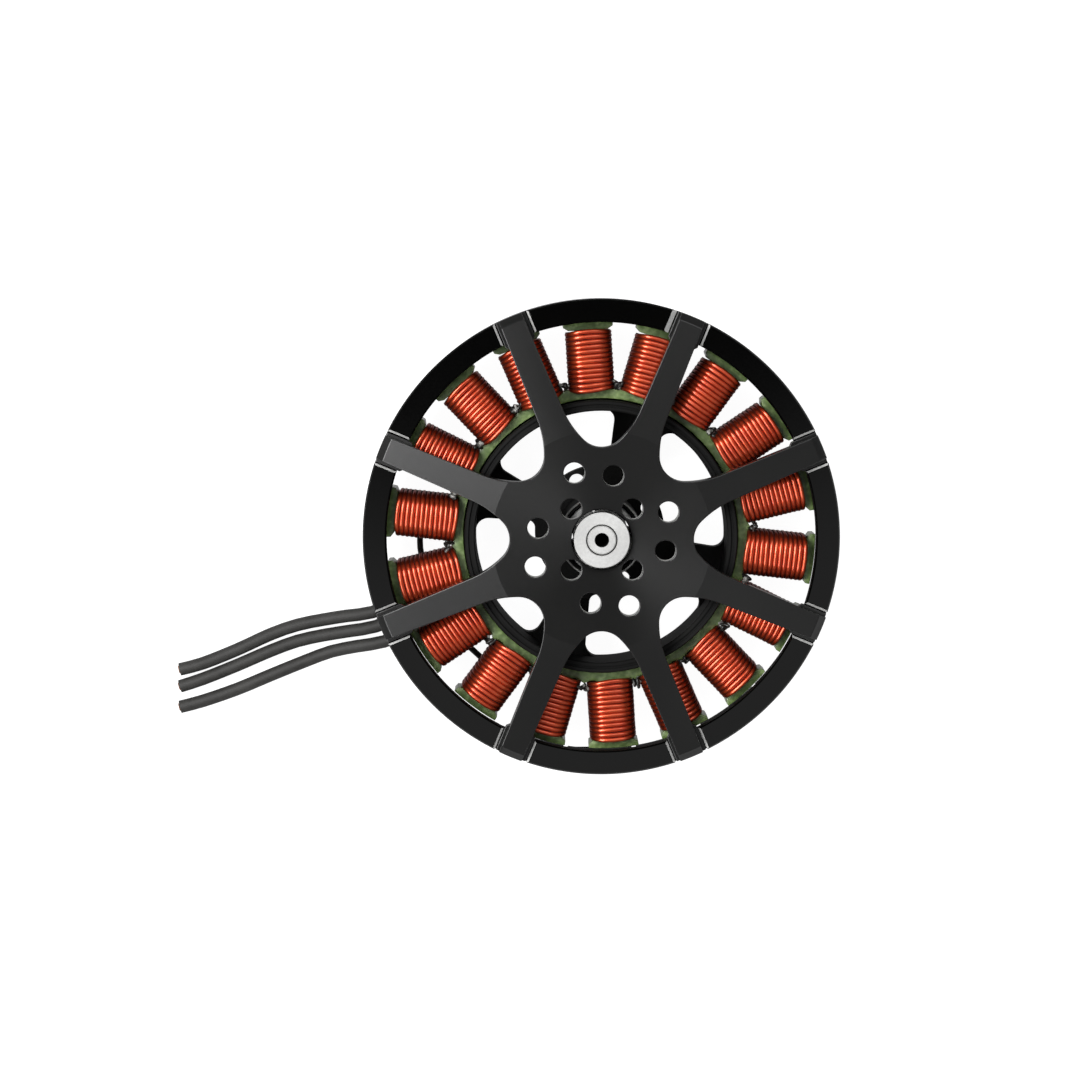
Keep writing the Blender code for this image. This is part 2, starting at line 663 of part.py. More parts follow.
def coil_stations():
    """Radius and build along the winding: shoulders at both ends and a crest for each turn of wire."""
    pitch = COIL_LENGTH / COIL_TURNS
    valley = 1 - WIRE_VALLEY / COIL_SIDE_BUILD
    stations = [(COIL_INNER, 0.0), (COIL_INNER, valley)]
    for i in range(COIL_TURNS):
        stations.append((COIL_INNER + pitch * (i + 0.5), 1.0))
        stations.append((COIL_INNER + pitch * (i + 1), valley))
    stations.append((COIL_OUTER, 0.0))
    return stations


def build_coils(material, parent):
    """Wire wound round each tooth: loops of unlike size lofted into one closed ridged ring."""
    loft = bmesh.new()
    rings = []
    for radius, share in coil_stations():
        rings.append([loft.verts.new(point) for point in coil_ring(radius, share)])
    for ring, following in zip(rings, rings[1:] + rings[:1]):
        for i in range(len(ring)):
            j = (i + 1) % len(ring)
            loft.faces.new((ring[i], ring[j], following[j], following[i]))
    bmesh.ops.recalc_face_normals(loft, faces=loft.faces)
    mesh = bpy.data.meshes.new("coil")
    loft.to_mesh(mesh)
    loft.free()
    mesh.materials.append(material)
    for i in range(TOOTH_COUNT):
        coil = bpy.data.objects.new(f"coil_{i + 1:02d}", mesh)
        parts.objects.link(coil)
        coil.parent = parent
        coil.rotation_euler.z = FIRST_TOOTH + TURN * i / TOOTH_COUNT


def tube(name, points, radius, sides):
    curve = bpy.data.curves.new(name, "CURVE")
    curve.dimensions = "3D"
    curve.bevel_depth = radius
    curve.bevel_resolution = sides
    curve.use_fill_caps = True
    spline = curve.splines.new("POLY")
    spline.points.add(len(points) - 1)
    for point, place in zip(spline.points, points):
        point.co = (*place, 1.0)
    return bpy.data.objects.new(name, curve)


def smooth_route(points, spacing):
    """Points about one spacing apart on a smooth curve through the given ones."""
    ends = [2 * points[0] - points[1], *points, 2 * points[-1] - points[-2]]
    route = [points[0]]
    for before, start, end, after in zip(ends, ends[1:], ends[2:], ends[3:]):
        steps = max(1, round((end - start).length / spacing))
        for i in range(1, steps + 1):
            t = i / steps
            route.append(
                0.5 * (2 * start + (end - before) * t + (2 * before - 5 * start + 4 * end - after) * t**2
                       + (3 * start - before - 3 * end + after) * t**3)
            )
    return route


def build_leads(material, parent):
    for i, route in enumerate(LEAD_ROUTES):
        points = smooth_route([Vector(point) * MM for point in route], LEAD_POINT_SPACING)
        add_part(tube(f"lead_{i + 1}", points, LEAD_DIAMETER / 2, 2), material, parent)


def build_jumpers(material, parent):
    height = COIL_BOTTOM - JUMPER_DROP - JUMPER_RADIUS
    for i, route in enumerate(JUMPER_ROUTES):
        points = []
        for degrees, share in route:
            x, y = polar(COIL_INNER + COIL_LENGTH * share, math.radians(degrees))
            points.append(Vector((x, y, height)))
        add_part(tube(f"winding_jumper_{i + 1}", points, JUMPER_RADIUS, 1), material, parent)


def build_motor():
    rotor = bpy.data.objects.new("rotor_axis", None)
    cage = bpy.data.objects.new("cage_axis", None)
    stator = bpy.data.objects.new("stator_frame", None)
    for empty in (rotor, cage, stator):
        parts.objects.link(empty)
    black_alloy = new_material("black_anodised_spider", (0.024, 0.024, 0.022), 0.42, 0.7)
    black_steel = new_material("black_can_steel", (0.010, 0.010, 0.009), 0.4, 0.6)
    magnet = new_material("nickel_magnet", (0.32, 0.32, 0.33), 0.35, 1.0)
    silver = new_material("bright_boss_alloy", (0.72, 0.72, 0.71), 0.35, 0.9)
    steel = new_material("ground_shaft_steel", (0.62, 0.62, 0.61), 0.25, 1.0)
    race = new_material("bearing_steel", (0.5, 0.5, 0.5), 0.2, 1.0)
    balls = new_material("caged_ball_steel", (0.6, 0.6, 0.6), 0.15, 1.0)
    shim = new_material("shim_steel", (0.45, 0.45, 0.44), 0.35, 1.0)
    clip = new_material("spring_clip_steel", (0.08, 0.08, 0.08), 0.4, 0.9)
    carrier = new_material("black_anodised_carrier", (0.012, 0.012, 0.012), 0.45, 0.7)
    core = new_material("green_coated_laminations", (0.11, 0.19, 0.06), 0.4, 0.0)
    copper = new_material("enamelled_copper", (0.60, 0.12, 0.04), 0.3, 0.6)
    sleeve = new_material("black_sleeving", (0.014, 0.014, 0.014), 0.6, 0.0)
    silicone = new_material("black_silicone_lead", (0.045, 0.043, 0.041), 0.6, 0.0)
    build_spider(black_alloy, rotor)
    build_can(black_steel, rotor)
    build_magnets(magnet, rotor)
    build_boss(silver, rotor)
    build_shaft(steel, rotor)
    build_shim(shim, rotor)
    build_clip(clip, rotor)
    build_bearing("front", FRONT_BEARING_BOTTOM, race, balls, stator, rotor, cage)
    build_bearing("rear", REAR_BEARING_LIFT, race, balls, stator, rotor, cage)
    build_carrier(carrier, stator)
    build_stator_core(core, stator)
    build_coils(copper, stator)
    build_jumpers(sleeve, stator)
    build_leads(silicone, stator)


clear_scene()
parts = new_collection("drone_motor")
cutters = new_collection("drone_motor_cutters")
build_motor()
bpy.context.view_layer.update()
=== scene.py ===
# Looks of an open-frame drone motor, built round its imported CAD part
import math
import random

import bmesh
import bpy
import numpy as np
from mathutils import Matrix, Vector
from mathutils.geometry import delaunay_2d_cdt


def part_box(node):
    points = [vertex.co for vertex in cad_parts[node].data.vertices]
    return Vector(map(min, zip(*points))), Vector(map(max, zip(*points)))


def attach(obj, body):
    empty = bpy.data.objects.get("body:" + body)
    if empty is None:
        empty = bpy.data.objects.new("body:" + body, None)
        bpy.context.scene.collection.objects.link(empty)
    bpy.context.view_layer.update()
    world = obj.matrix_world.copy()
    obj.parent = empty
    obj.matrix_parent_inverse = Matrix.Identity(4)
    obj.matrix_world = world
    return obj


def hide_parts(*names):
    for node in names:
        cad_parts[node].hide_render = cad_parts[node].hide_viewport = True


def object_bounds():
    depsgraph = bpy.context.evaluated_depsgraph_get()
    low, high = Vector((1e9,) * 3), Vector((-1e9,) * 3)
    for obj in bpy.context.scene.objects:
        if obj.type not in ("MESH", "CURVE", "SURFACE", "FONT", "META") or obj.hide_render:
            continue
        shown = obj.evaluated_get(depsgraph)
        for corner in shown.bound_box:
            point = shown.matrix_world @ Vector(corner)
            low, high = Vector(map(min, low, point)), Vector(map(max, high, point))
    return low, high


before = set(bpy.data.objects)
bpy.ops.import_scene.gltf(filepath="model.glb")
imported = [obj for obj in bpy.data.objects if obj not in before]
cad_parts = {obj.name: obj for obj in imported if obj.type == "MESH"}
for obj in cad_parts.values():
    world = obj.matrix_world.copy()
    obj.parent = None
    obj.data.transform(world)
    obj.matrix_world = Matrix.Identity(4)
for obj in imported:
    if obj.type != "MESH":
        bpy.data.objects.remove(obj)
cadLow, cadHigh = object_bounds()

mm = 0.001
turn = 2 * math.pi


# Camera: it looks down at the propeller face and stands a little towards +Y
camera = {
    "pictureSize": 1080,            # pixels, both ways
    "ringPixels": 238.8,            # radius of the can in the picture
    "ringCentre": (601.3, 537.8),   # where its centre is in the picture, from the top left
    "distance": 700 * mm,
    "tilt": math.radians(4.5),
    "sensor": 36.0,
}


def ringOf(node):
    # Inner radius, outer radius, bottom and top of a node that is round about the shaft
    radii = [math.hypot(v.co.x, v.co.y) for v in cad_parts[node].data.vertices]
    low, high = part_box(node)
    return min(radii), max(radii), low.z, high.z


lipInner, canRadius, canBottom, canFront = ringOf("flux_ring")


def makeCamera():
    millimetre = camera["ringPixels"] / canRadius               # pixels for each metre at the can's front
    middle = camera["pictureSize"] / 2
    centreX, centreY = camera["ringCentre"]
    target = Vector(((middle - centreX) / millimetre, (centreY - middle) / millimetre, canFront))
    back = Vector((0.0, math.sin(camera["tilt"]), math.cos(camera["tilt"])))
    data = bpy.data.cameras.new("camera")
    data.sensor_width = camera["sensor"]
    data.lens = camera["sensor"] * camera["distance"] * millimetre / camera["pictureSize"]
    data.clip_start, data.clip_end = 0.05, 20.0
    obj = bpy.data.objects.new("camera", data)
    bpy.context.scene.collection.objects.link(obj)
    obj.location = target + back * camera["distance"]
    obj.rotation_euler.x = -camera["tilt"]
    bpy.context.scene.camera = obj


makeCamera()
print("camera made")


# Shader values: arithmetic on them adds the nodes
class Wire:
    def __init__(self, surface, socket):
        self.surface = surface
        self.socket = socket

    def joined(self, operation, first, second):
        if self.socket.type == "RGBA":
            settings = {"data_type": "RGBA", "blend_type": operation}
            return self.surface.node("ShaderNodeMix", settings, {0: 1.0, 6: first, 7: second}, output=2)
        kind = "ShaderNodeVectorMath" if self.socket.type == "VECTOR" else "ShaderNodeMath"
        return self.surface.node(kind, {"operation": operation}, {0: first, 1: second})

    def __add__(self, other):
        return self.joined("ADD", self, other)

    def __radd__(self, other):
        return self.joined("ADD", other, self)

    def __sub__(self, other):
        return self.joined("SUBTRACT", self, other)

    def __rsub__(self, other):
        return self.joined("SUBTRACT", other, self)

    def __mul__(self, other):
        return self.joined("MULTIPLY", self, other)

    def __rmul__(self, other):
        return self.joined("MULTIPLY", other, self)

    def __truediv__(self, other):
        return self.joined("DIVIDE", self, other)

    def __gt__(self, other):
        return self.joined("GREATER_THAN", self, other)

    def __lt__(self, other):
        return self.joined("LESS_THAN", self, other)

    def __pow__(self, other):
        return self.joined("POWER", self, other)

    def __mod__(self, other):
        return self.joined("MODULO", self, other)


# One material, or the world, and the way to add any node to it
class Surface:
    def __init__(self, name, tree):
        self.name = name
        self.tree = tree
        self.tree.nodes.clear()

    def node(self, kind, settings=None, sockets=None, output=0):
        made = self.tree.nodes.new(kind)
        for key, value in (settings or {}).items():
            if key == "stops":
                elements = made.color_ramp.elements
                while len(elements) < len(value):
                    elements.new(0.5)
                for element, (place, grey) in zip(elements, value):
                    element.position = place
                    element.color = (grey, grey, grey, 1.0) if isinstance(grey, (int, float)) else (*grey, 1.0)
            else:
                setattr(made, key, value)
        for key, value in (sockets or {}).items():
            socket = made.inputs[key]
            if isinstance(value, Wire):
                self.tree.links.new(value.socket, socket)
            elif socket.type == "RGBA" and not isinstance(value, (int, float)):
                socket.default_value = (*value, 1.0)[:4]
            elif socket.type in ("VECTOR", "RGBA") and isinstance(value, (int, float)):
                socket.default_value = [value] * len(socket.default_value)
            else:
                socket.default_value = value
        return Wire(self, made.outputs[output]) if made.outputs else made

    def place(self):
        return self.node("ShaderNodeTexCoord", output="Object")

    def noise(self, vector, scale, detail=2.0, roughness=0.5, **settings):
        sockets = {"Scale": scale, "Detail": detail, "Roughness": roughness}
        sockets["W" if settings.get("noise_dimensions") == "1D" else "Vector"] = vector
        return self.node("ShaderNodeTexNoise", settings, sockets)

    def ramp(self, value, stops):
        return self.node("ShaderNodeValToRGB", {"stops": stops}, {"Fac": value})

    def blended(self, factor, first, second):
        return self.node("ShaderNodeMix", {"data_type": "RGBA"}, {0: factor, 6: first, 7: second}, output=2)

    def radius(self, place):
        flat = place * Vector((1.0, 1.0, 0.0))
        return self.node("ShaderNodeVectorMath", {"operation": "LENGTH"}, {0: flat}, output="Value")

    def bump(self, height, distance, strength=1.0):
        return self.node("ShaderNodeBump", None, {"Strength": strength, "Distance": distance, "Height": height})

    def shaded(self, sockets):
        shader = self.node("ShaderNodeBsdfPrincipled", None, sockets)
        self.node("ShaderNodeOutputMaterial", None, {"Surface": shader})


def newMaterial(name):
    material = bpy.data.materials.new(name)
    material.use_nodes = True
    return material, Surface(name, material.node_tree)


# Free cords: three silicone leads, at the routes of the part's own solids, in millimetres
leads = {
    "diameter": 2.8 * mm,
    "pointSpacing": 3.0 * mm,
    "coreRadius": 0.85 * mm,        # the copper strands inside
    "coreProud": 0.25 * mm,         # how far they stand out of the cut end
    "strands": 19,
    "sleeveRadius": 1.75 * mm,      # heat-shrink over the joint with the winding
    "sleeveLength": 9.0 * mm,
}
leadRoutes = (
    (
        (-36.6, -12.2, 4.0), (-42.5, -15.1, 3.6), (-49.1, -17.9, 3.3), (-54.8, -18.8, 2.7),
        (-60.0, -19.7, 2.0), (-65.6, -20.9, 1.55), (-71.3, -22.9, 1.45), (-78.7, -26.3, 1.45),
        (-86.2, -29.3, 1.45), (-91.1, -30.6, 1.45),
    ),
    (
        (-35.7, -15.4, 4.0), (-41.8, -18.2, 3.6), (-48.4, -21.0, 3.3), (-54.3, -22.1, 2.7),
        (-60.0, -23.1, 2.0), (-65.6, -24.4, 1.55), (-71.3, -26.5, 1.45), (-78.7, -29.7, 1.45),
        (-86.2, -32.7, 1.45), (-91.1, -34.3, 1.45),
    ),
    (
        (-34.2, -18.6, 4.0), (-40.0, -21.5, 3.6), (-46.6, -24.3, 3.3), (-52.5, -25.4, 2.7),
        (-58.1, -26.6, 2.0), (-63.7, -28.7, 1.55), (-71.3, -31.8, 1.45), (-78.7, -34.9, 1.45),
        (-86.2, -37.5, 1.45), (-91.1, -38.8, 1.45),
    ),
)


def smoothRoute(points, spacing):
    # Points about one spacing apart on a smooth curve through the given ones
    ends = [2 * points[0] - points[1], *points, 2 * points[-1] - points[-2]]
    route = [points[0]]
    for before, start, end, after in zip(ends, ends[1:], ends[2:], ends[3:]):
        steps = max(1, round((end - start).length / spacing))
        for i in range(1, steps + 1):
            t = i / steps
            bend = (2 * before - 5 * start + 4 * end - after) * t**2
            twist = (3 * start - before - 3 * end + after) * t**3
            route.append(0.5 * (2 * start + (end - before) * t + bend + twist))
    return route


def tubeCurve(name, points, radius, resolution, material, others=()):
    curve = bpy.data.curves.new(name, "CURVE")
    curve.dimensions = "3D"
    curve.bevel_depth = radius
    curve.bevel_resolution = resolution
    curve.use_fill_caps = True
    for route in (points, *others):
        spline = curve.splines.new("POLY")
        spline.points.add(len(route) - 1)
        for point, place in zip(spline.points, route):
            point.co = (*place, 1.0)
        spline.use_smooth = True
    curve.materials.append(material)
    obj = bpy.data.objects.new(name, curve)
    bpy.context.scene.collection.objects.link(obj)
    return obj


def siliconeMaterial():
    material, surface = newMaterial("lead_silicone")
    place = surface.place()
    dust = surface.noise(place, 900.0, 4.0, 0.6)
    length = surface.noise(place, 140.0, 3.0)
    colour = surface.ramp(dust * 0.5 + length * 0.5, [(0.3, (0.017, 0.0165, 0.0155)), (0.7, (0.036, 0.035, 0.033))])
    surface.shaded({
        "Base Color": colour,
        "Roughness": 0.50 + dust * 0.22,
        "Specular IOR Level": 0.38,
        "Normal": surface.bump(dust, 0.00003, 0.5),
    })
    return material


def strandMaterial():
    material, surface = newMaterial("lead_strands")
    place = surface.place()
    tin = surface.noise(place, 1500.0, 3.0)
    surface.shaded({
        "Base Color": surface.ramp(tin, [(0.35, (0.48, 0.16, 0.06)), (0.65, (0.72, 0.42, 0.26))]),
        "Metallic": 1.0,
        "Roughness": 0.28 + tin * 0.2,
    })
    return material


def makeLeads():
    silicone = siliconeMaterial()
    strand = strandMaterial()
    pieces = []
    for i, route in enumerate(leadRoutes):
        points = smoothRoute([Vector(point) * mm for point in route], leads["pointSpacing"])
        length = sum((b - a).length for a, b in zip(points, points[1:]))
        lead = tubeCurve(f"silicone_lead_{i + 1}", points, leads["diameter"] / 2, 8, silicone)
        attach(lead, "stator")
        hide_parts(f"lead_{i + 1}")
        tuple(points[0])
        pieces.append((points, lead))
    return pieces, strand


leadPieces, strandFinish = makeLeads()
print("leads laid")


# Mesh helpers
def polar(radius, angle):
    return (radius * math.cos(angle), radius * math.sin(angle))


def rotated(points, angle):
    cosine, sine = math.cos(angle), math.sin(angle)
    return [(x * cosine - y * sine, x * sine + y * cosine) for x, y in points]


def arc(centre, radius, start, end, steps):
    points = []
    for i in range(steps + 1):
        x, y = polar(radius, start + (end - start) * i / steps)
        points.append((centre[0] + x, centre[1] + y))
    return points


def mirrored(points):
    return [(x, -y) for x, y in reversed(points)]


def addObject(name, mesh, material=None):
    obj = bpy.data.objects.new(name, mesh)
    bpy.context.scene.collection.objects.link(obj)
    if material is not None:
        mesh.materials.clear()
        mesh.materials.append(material)
    return obj


def cleaned(mesh, creases=(), angle=30):
    # Welds, turns the faces outwards and shades smooth, but not over an edge or a crease
    body = bmesh.new()
    body.from_mesh(mesh)
    bmesh.ops.remove_doubles(body, verts=body.verts, dist=1e-7)
    bmesh.ops.recalc_face_normals(body, faces=body.faces)
    sharp = math.radians(angle)
    for edge in body.edges:
        radii = [math.hypot(v.co.x, v.co.y) for v in edge.verts]
        creased = any(max(abs(r - crease) for r in radii) < 1e-5 for crease in creases)
        edge.smooth = not creased and edge.calc_face_angle(0.0) < sharp
    for face in body.faces:
        face.smooth = True
    body.to_mesh(mesh)
    body.free()
    return mesh


def turnedMesh(name, section, steps, closed=True):
    # A section of (radius, height) points turned about the shaft's axis
    verts, faces = [], []
    for i in range(steps):
        angle = turn * i / steps
        verts += [(radius * math.cos(angle), radius * math.sin(angle), height) for radius, height in section]
    count = len(section)
    for i in range(steps):
        here, there = i * count, (i + 1) % steps * count
        for j in range(count if closed else count - 1):
            k = (j + 1) % count
            faces.append((here + j, there + j, there + k, here + k))
    mesh = bpy.data.meshes.new(name)
    mesh.from_pydata(verts, [], faces)
    return cleaned(mesh)


def plateMesh(name, outlines, bottom, top, rounding=0.0, steps=2):
    # Outlines filled between two heights, an inner one as a hole, with rounded edges
    curve = bpy.data.curves.new(name, "CURVE")
    curve.dimensions = "2D"
    curve.fill_mode = "BOTH"
    curve.extrude = (top - bottom) / 2 - rounding
    curve.bevel_depth = rounding
    curve.bevel_resolution = steps
    curve.offset = -rounding
    for outline in outlines:
        spline = curve.splines.new("POLY")
        spline.points.add(len(outline) - 1)
        for point, (x, y) in zip(spline.points, outline):
            point.co = (x, y, 0.0, 1.0)
        spline.use_cyclic_u = True
    obj = bpy.data.objects.new(name, curve)
    bpy.context.scene.collection.objects.link(obj)
    mesh = evaluated(obj)
    for vertex in mesh.vertices:
        vertex.co.z += (bottom + top) / 2
    bpy.data.objects.remove(obj, do_unlink=True)
    mesh.name = name
    return cleaned(mesh)


def evaluated(obj):
    bpy.context.view_layer.update()
    return bpy.data.meshes.new_from_object(obj.evaluated_get(bpy.context.evaluated_depsgraph_get()))


def carved(mesh, other, operation, creases=(), angle=30):
    # One mesh cut by, joined to or limited to another
    obj = addObject(mesh.name, mesh)
    tool = addObject(other.name, other)
    boolean = obj.modifiers.new(operation, "BOOLEAN")
    boolean.object = tool
    boolean.operation = operation
    boolean.solver = "EXACT"
    made = evaluated(obj)
    bpy.data.objects.remove(obj, do_unlink=True)
    bpy.data.objects.remove(tool, do_unlink=True)
    return cleaned(made, creases, angle)


def joinedMesh(name, meshes):
    body = bmesh.new()
    for mesh in meshes:
        body.from_mesh(mesh)
    made = bpy.data.meshes.new(name)
    body.to_mesh(made)
    body.free()
    return made


def insetLoop(loop, distance):
    # The loop moved to its left by a distance
    points = np.asarray(loop)
    ahead = np.roll(points, -1, axis=0) - points
    ahead /= np.linalg.norm(ahead, axis=1)[:, None]
    left = np.stack([-ahead[:, 1], ahead[:, 0]], axis=1)
    mean = left + np.roll(left, 1, axis=0)
    mean /= np.linalg.norm(mean, axis=1)[:, None]
    reach = np.clip((mean * left).sum(axis=1), 0.5, 1.0)
    return points + mean * (distance / reach)[:, None]


def insideLoops(points, loops):
    # Even-odd test of many points against all the loops
    inside = np.zeros(len(points), bool)
    x, y = points[:, 0], points[:, 1]
    for loop in loops:
        for (ax, ay), (bx, by) in zip(loop, np.roll(loop, -1, axis=0)):
            if ay != by:
                inside ^= ((ay > y) != (by > y)) & (x < (bx - ax) * (y - ay) / (by - ay) + ax)
    return inside


def creasedLoop(loop, rounding, radii):
    # The loop with a point added wherever its moved-in copy crosses one of the radii
    made = []
    for start, end in zip(loop, np.roll(loop, -1, axis=0)):
        made.append(start)
        length = np.linalg.norm(end - start)
        along = (end - start) / length
        offset = start + rounding * np.array([-along[1], along[0]])
        half = offset @ along
        reaches = []
        for radius in radii:
            under = half**2 - offset @ offset + radius**2
            if under > 0:
                reaches += [-half - math.sqrt(under), -half + math.sqrt(under)]
        made += [start + along * reach for reach in sorted(reaches) if 0.02 * mm < reach < length - 0.02 * mm]
    return np.array(made)


def sheetMesh(name, loops, topOf, bottomOf, rounding, inner=(), creases=(), bright=(), angle=30):
    # A solid between two heights that depend on the radius, its edges rounded. Material lies left of each loop
    loops = [creasedLoop(loop, rounding, creases) for loop in loops]
    profile = [(rounding * (1 - math.cos(a)), rounding * (1 - math.sin(a))) for a in np.linspace(0, math.pi / 2, 4)]
    inset = [insetLoop(loop, rounding) for loop in loops]
    flat = np.concatenate([*inset, np.asarray(inner).reshape(-1, 2)])
    edges, start = [], 0
    for loop in inset:
        edges += [(start + i, start + (i + 1) % len(loop)) for i in range(len(loop))]
        start += len(loop)
    found = delaunay_2d_cdt([Vector(point) for point in flat], edges, [], 0, 1e-9)
    origin = [source[0] for source in found[3]]
    triangles = np.array([[origin[v] for v in face] for face in found[2]])
    triangles = triangles[insideLoops(flat[triangles].mean(axis=1), inset)]
    radii = np.linalg.norm(flat, axis=1)
    verts = [(x, y, topOf(r)) for (x, y), r in zip(flat, radii)]
    verts += [(x, y, bottomOf(r)) for (x, y), r in zip(flat, radii)]
    faces = [tuple(t) for t in triangles] + [tuple(len(flat) + t[::-1]) for t in triangles]
    start, brightFaces = 0, []
    for number, loop in enumerate(loops):
        count = len(loop)
        rings = [list(range(start, start + count))]
        for across, down in profile[::-1][1:]:
            rings.append([len(verts) + i for i in range(count)])
            for x, y in insetLoop(loop, across):
                verts.append((x, y, topOf(math.hypot(x, y)) - down))
        for across, down in profile[:-1]:
            rings.append([len(verts) + i for i in range(count)])
            for x, y in insetLoop(loop, across):
                verts.append((x, y, bottomOf(math.hypot(x, y)) + down))
        rings.append([len(flat) + start + i for i in range(count)])
        for step, (ring, following) in enumerate(zip(rings, rings[1:])):
            if number in bright and step == 3:
                brightFaces += range(len(faces), len(faces) + count)
            faces += [(ring[i], ring[(i + 1) % count], following[(i + 1) % count], following[i]) for i in range(count)]
        start += count
    mesh = bpy.data.meshes.new(name)
    mesh.from_pydata(verts, [], faces)
    for index in brightFaces:
        mesh.polygons[index].material_index = 1
    return cleaned(mesh, creases, angle)


def finished(name, mesh, material, body, slot, *nodes):
    obj = addObject(name, mesh, material)
    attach(obj, body)
    if nodes:
        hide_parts(*nodes)
    return obj


# Spider: the spoked black plate that carries the can
spider = {
    "arms": 8,
    "firstArm": math.radians(22.5),
    "hubFlatRadius": 22.8 * mm,
    "hubDip": 0.6 * mm,             # how far the hub falls from there to its middle
    "hubThick": 3.6 * mm,
    "armDrop": 3.0 * mm,            # from the hub's flat to the outer end of an arm
    "rimChamfer": 1.3 * mm,         # height lost over the slope at an arm's end
    "rimSlope": 1.7 * mm,           # and its length
    "breakWidth": 0.16 * mm,        # narrow broken edge where it starts
    "breakDrop": 0.06 * mm,
    "windowStart": 19.2 * mm,
    "windowRound": 5.3 * mm,
    "windowFlare": 20.0 * mm,
    "armRoot": 5.8 * mm,
    "armTip": 5.1 * mm,
    "notchWidth": 7.2 * mm,
    "footThick": 1.9 * mm,
    "footReach": 6.4 * mm,
    "footChamfer": 0.7 * mm,
    "seam": 0.3 * mm,
    "holeRadius": 2.18 * mm,
    "holeCircles": ((9.0 * mm, 45), (13.5 * mm, -10), (15.0 * mm, 22.5)),   # radius, first angle in degrees
    "rounding": 0.16 * mm,
    "cell": 1.6 * mm,               # spacing of the points inside the flat faces
    "sharpAngle": 14,               # degrees from which an edge isn't shaded smooth
}
hubInner, _, spiderBottom, hubTop = ringOf("spider")


def windowSide():
    # Upper half of one window along +X: along the arm, round the flare, round the bottom
    halfPitch = turn / spider["arms"] / 2
    root, tip = spider["armRoot"] / 2, spider["armTip"] / 2
    centre = spider["windowStart"] + spider["windowRound"]
    spread = spider["windowFlare"] - spider["windowRound"]
    lean = math.asin((root + spider["windowFlare"] - centre * math.sin(halfPitch)) / spread) - halfPitch
    flareCentre = (centre + spread * math.cos(lean), -spread * math.sin(lean))
    normal = halfPitch + math.pi / 2
    along = math.sqrt(canRadius**2 - tip**2)
    axisX, axisY = polar(along, halfPitch)
    end = (axisX - tip * math.cos(normal), axisY - tip * math.sin(normal))
    flare = arc(flareCentre, spider["windowFlare"], normal, math.pi - lean, 18)
    straight = [tuple(Vector(end).lerp(Vector(flare[0]), i / 10)) for i in range(10)]
    return straight + flare + arc((centre, 0.0), spider["windowRound"], math.pi - lean, math.pi, 12)[1:]


def spiderLoop():
    side = windowSide()
    window = side + mirrored(side)[1:]
    tipAngle = math.asin(spider["armTip"] / 2 / canRadius)
    loop = []
    for i in range(spider["arms"]):
        angle = -turn * i / spider["arms"]
        arm = angle - turn / spider["arms"] / 2
        loop += rotated(window, angle)
        loop += arc((0.0, 0.0), canRadius, arm + tipAngle, arm - tipAngle, 8)[1:-1]
    return np.array(loop[::-1])


def holeLoops():
    loops = [np.array(arc((0.0, 0.0), hubInner + 0.8 * mm, turn, 0.0, 96)[:-1])]
    for radius, first in spider["holeCircles"]:
        for i in range(4):
            centre = polar(radius, math.radians(first) + turn * i / 4)
            loops.append(np.array(arc(centre, spider["holeRadius"], turn, 0.0, 40)[:-1]))
    return loops


def innerPoints(loops, radii, cell, margin, even=0):
    # Points on circles that lie inside the loops and clear of them
    points = []
    for radius in radii:
        count = even or max(8, round(turn * radius / cell))
        points += [polar(radius, turn * (i + 0.5) / count) for i in range(count)]
    points = np.array(points)
    points = points[insideLoops(points, loops)]
    border = np.concatenate(loops)
    gap = np.array([np.linalg.norm(border - point, axis=1).min() for point in points])
    return points[gap > margin]


def footOutline():
    half = spider["notchWidth"] / 2 - spider["seam"]
    inner = canRadius - spider["footReach"]
    outer = canRadius - spider["seam"] / 2
    corner = spider["footChamfer"]
    reach = math.asin(half / outer)
    foot = [(inner, -half + corner), (inner + corner, -half)]
    foot += arc((0.0, 0.0), outer, -reach, reach, 12)
    return foot + [(inner + corner, half), (inner, half - corner)]


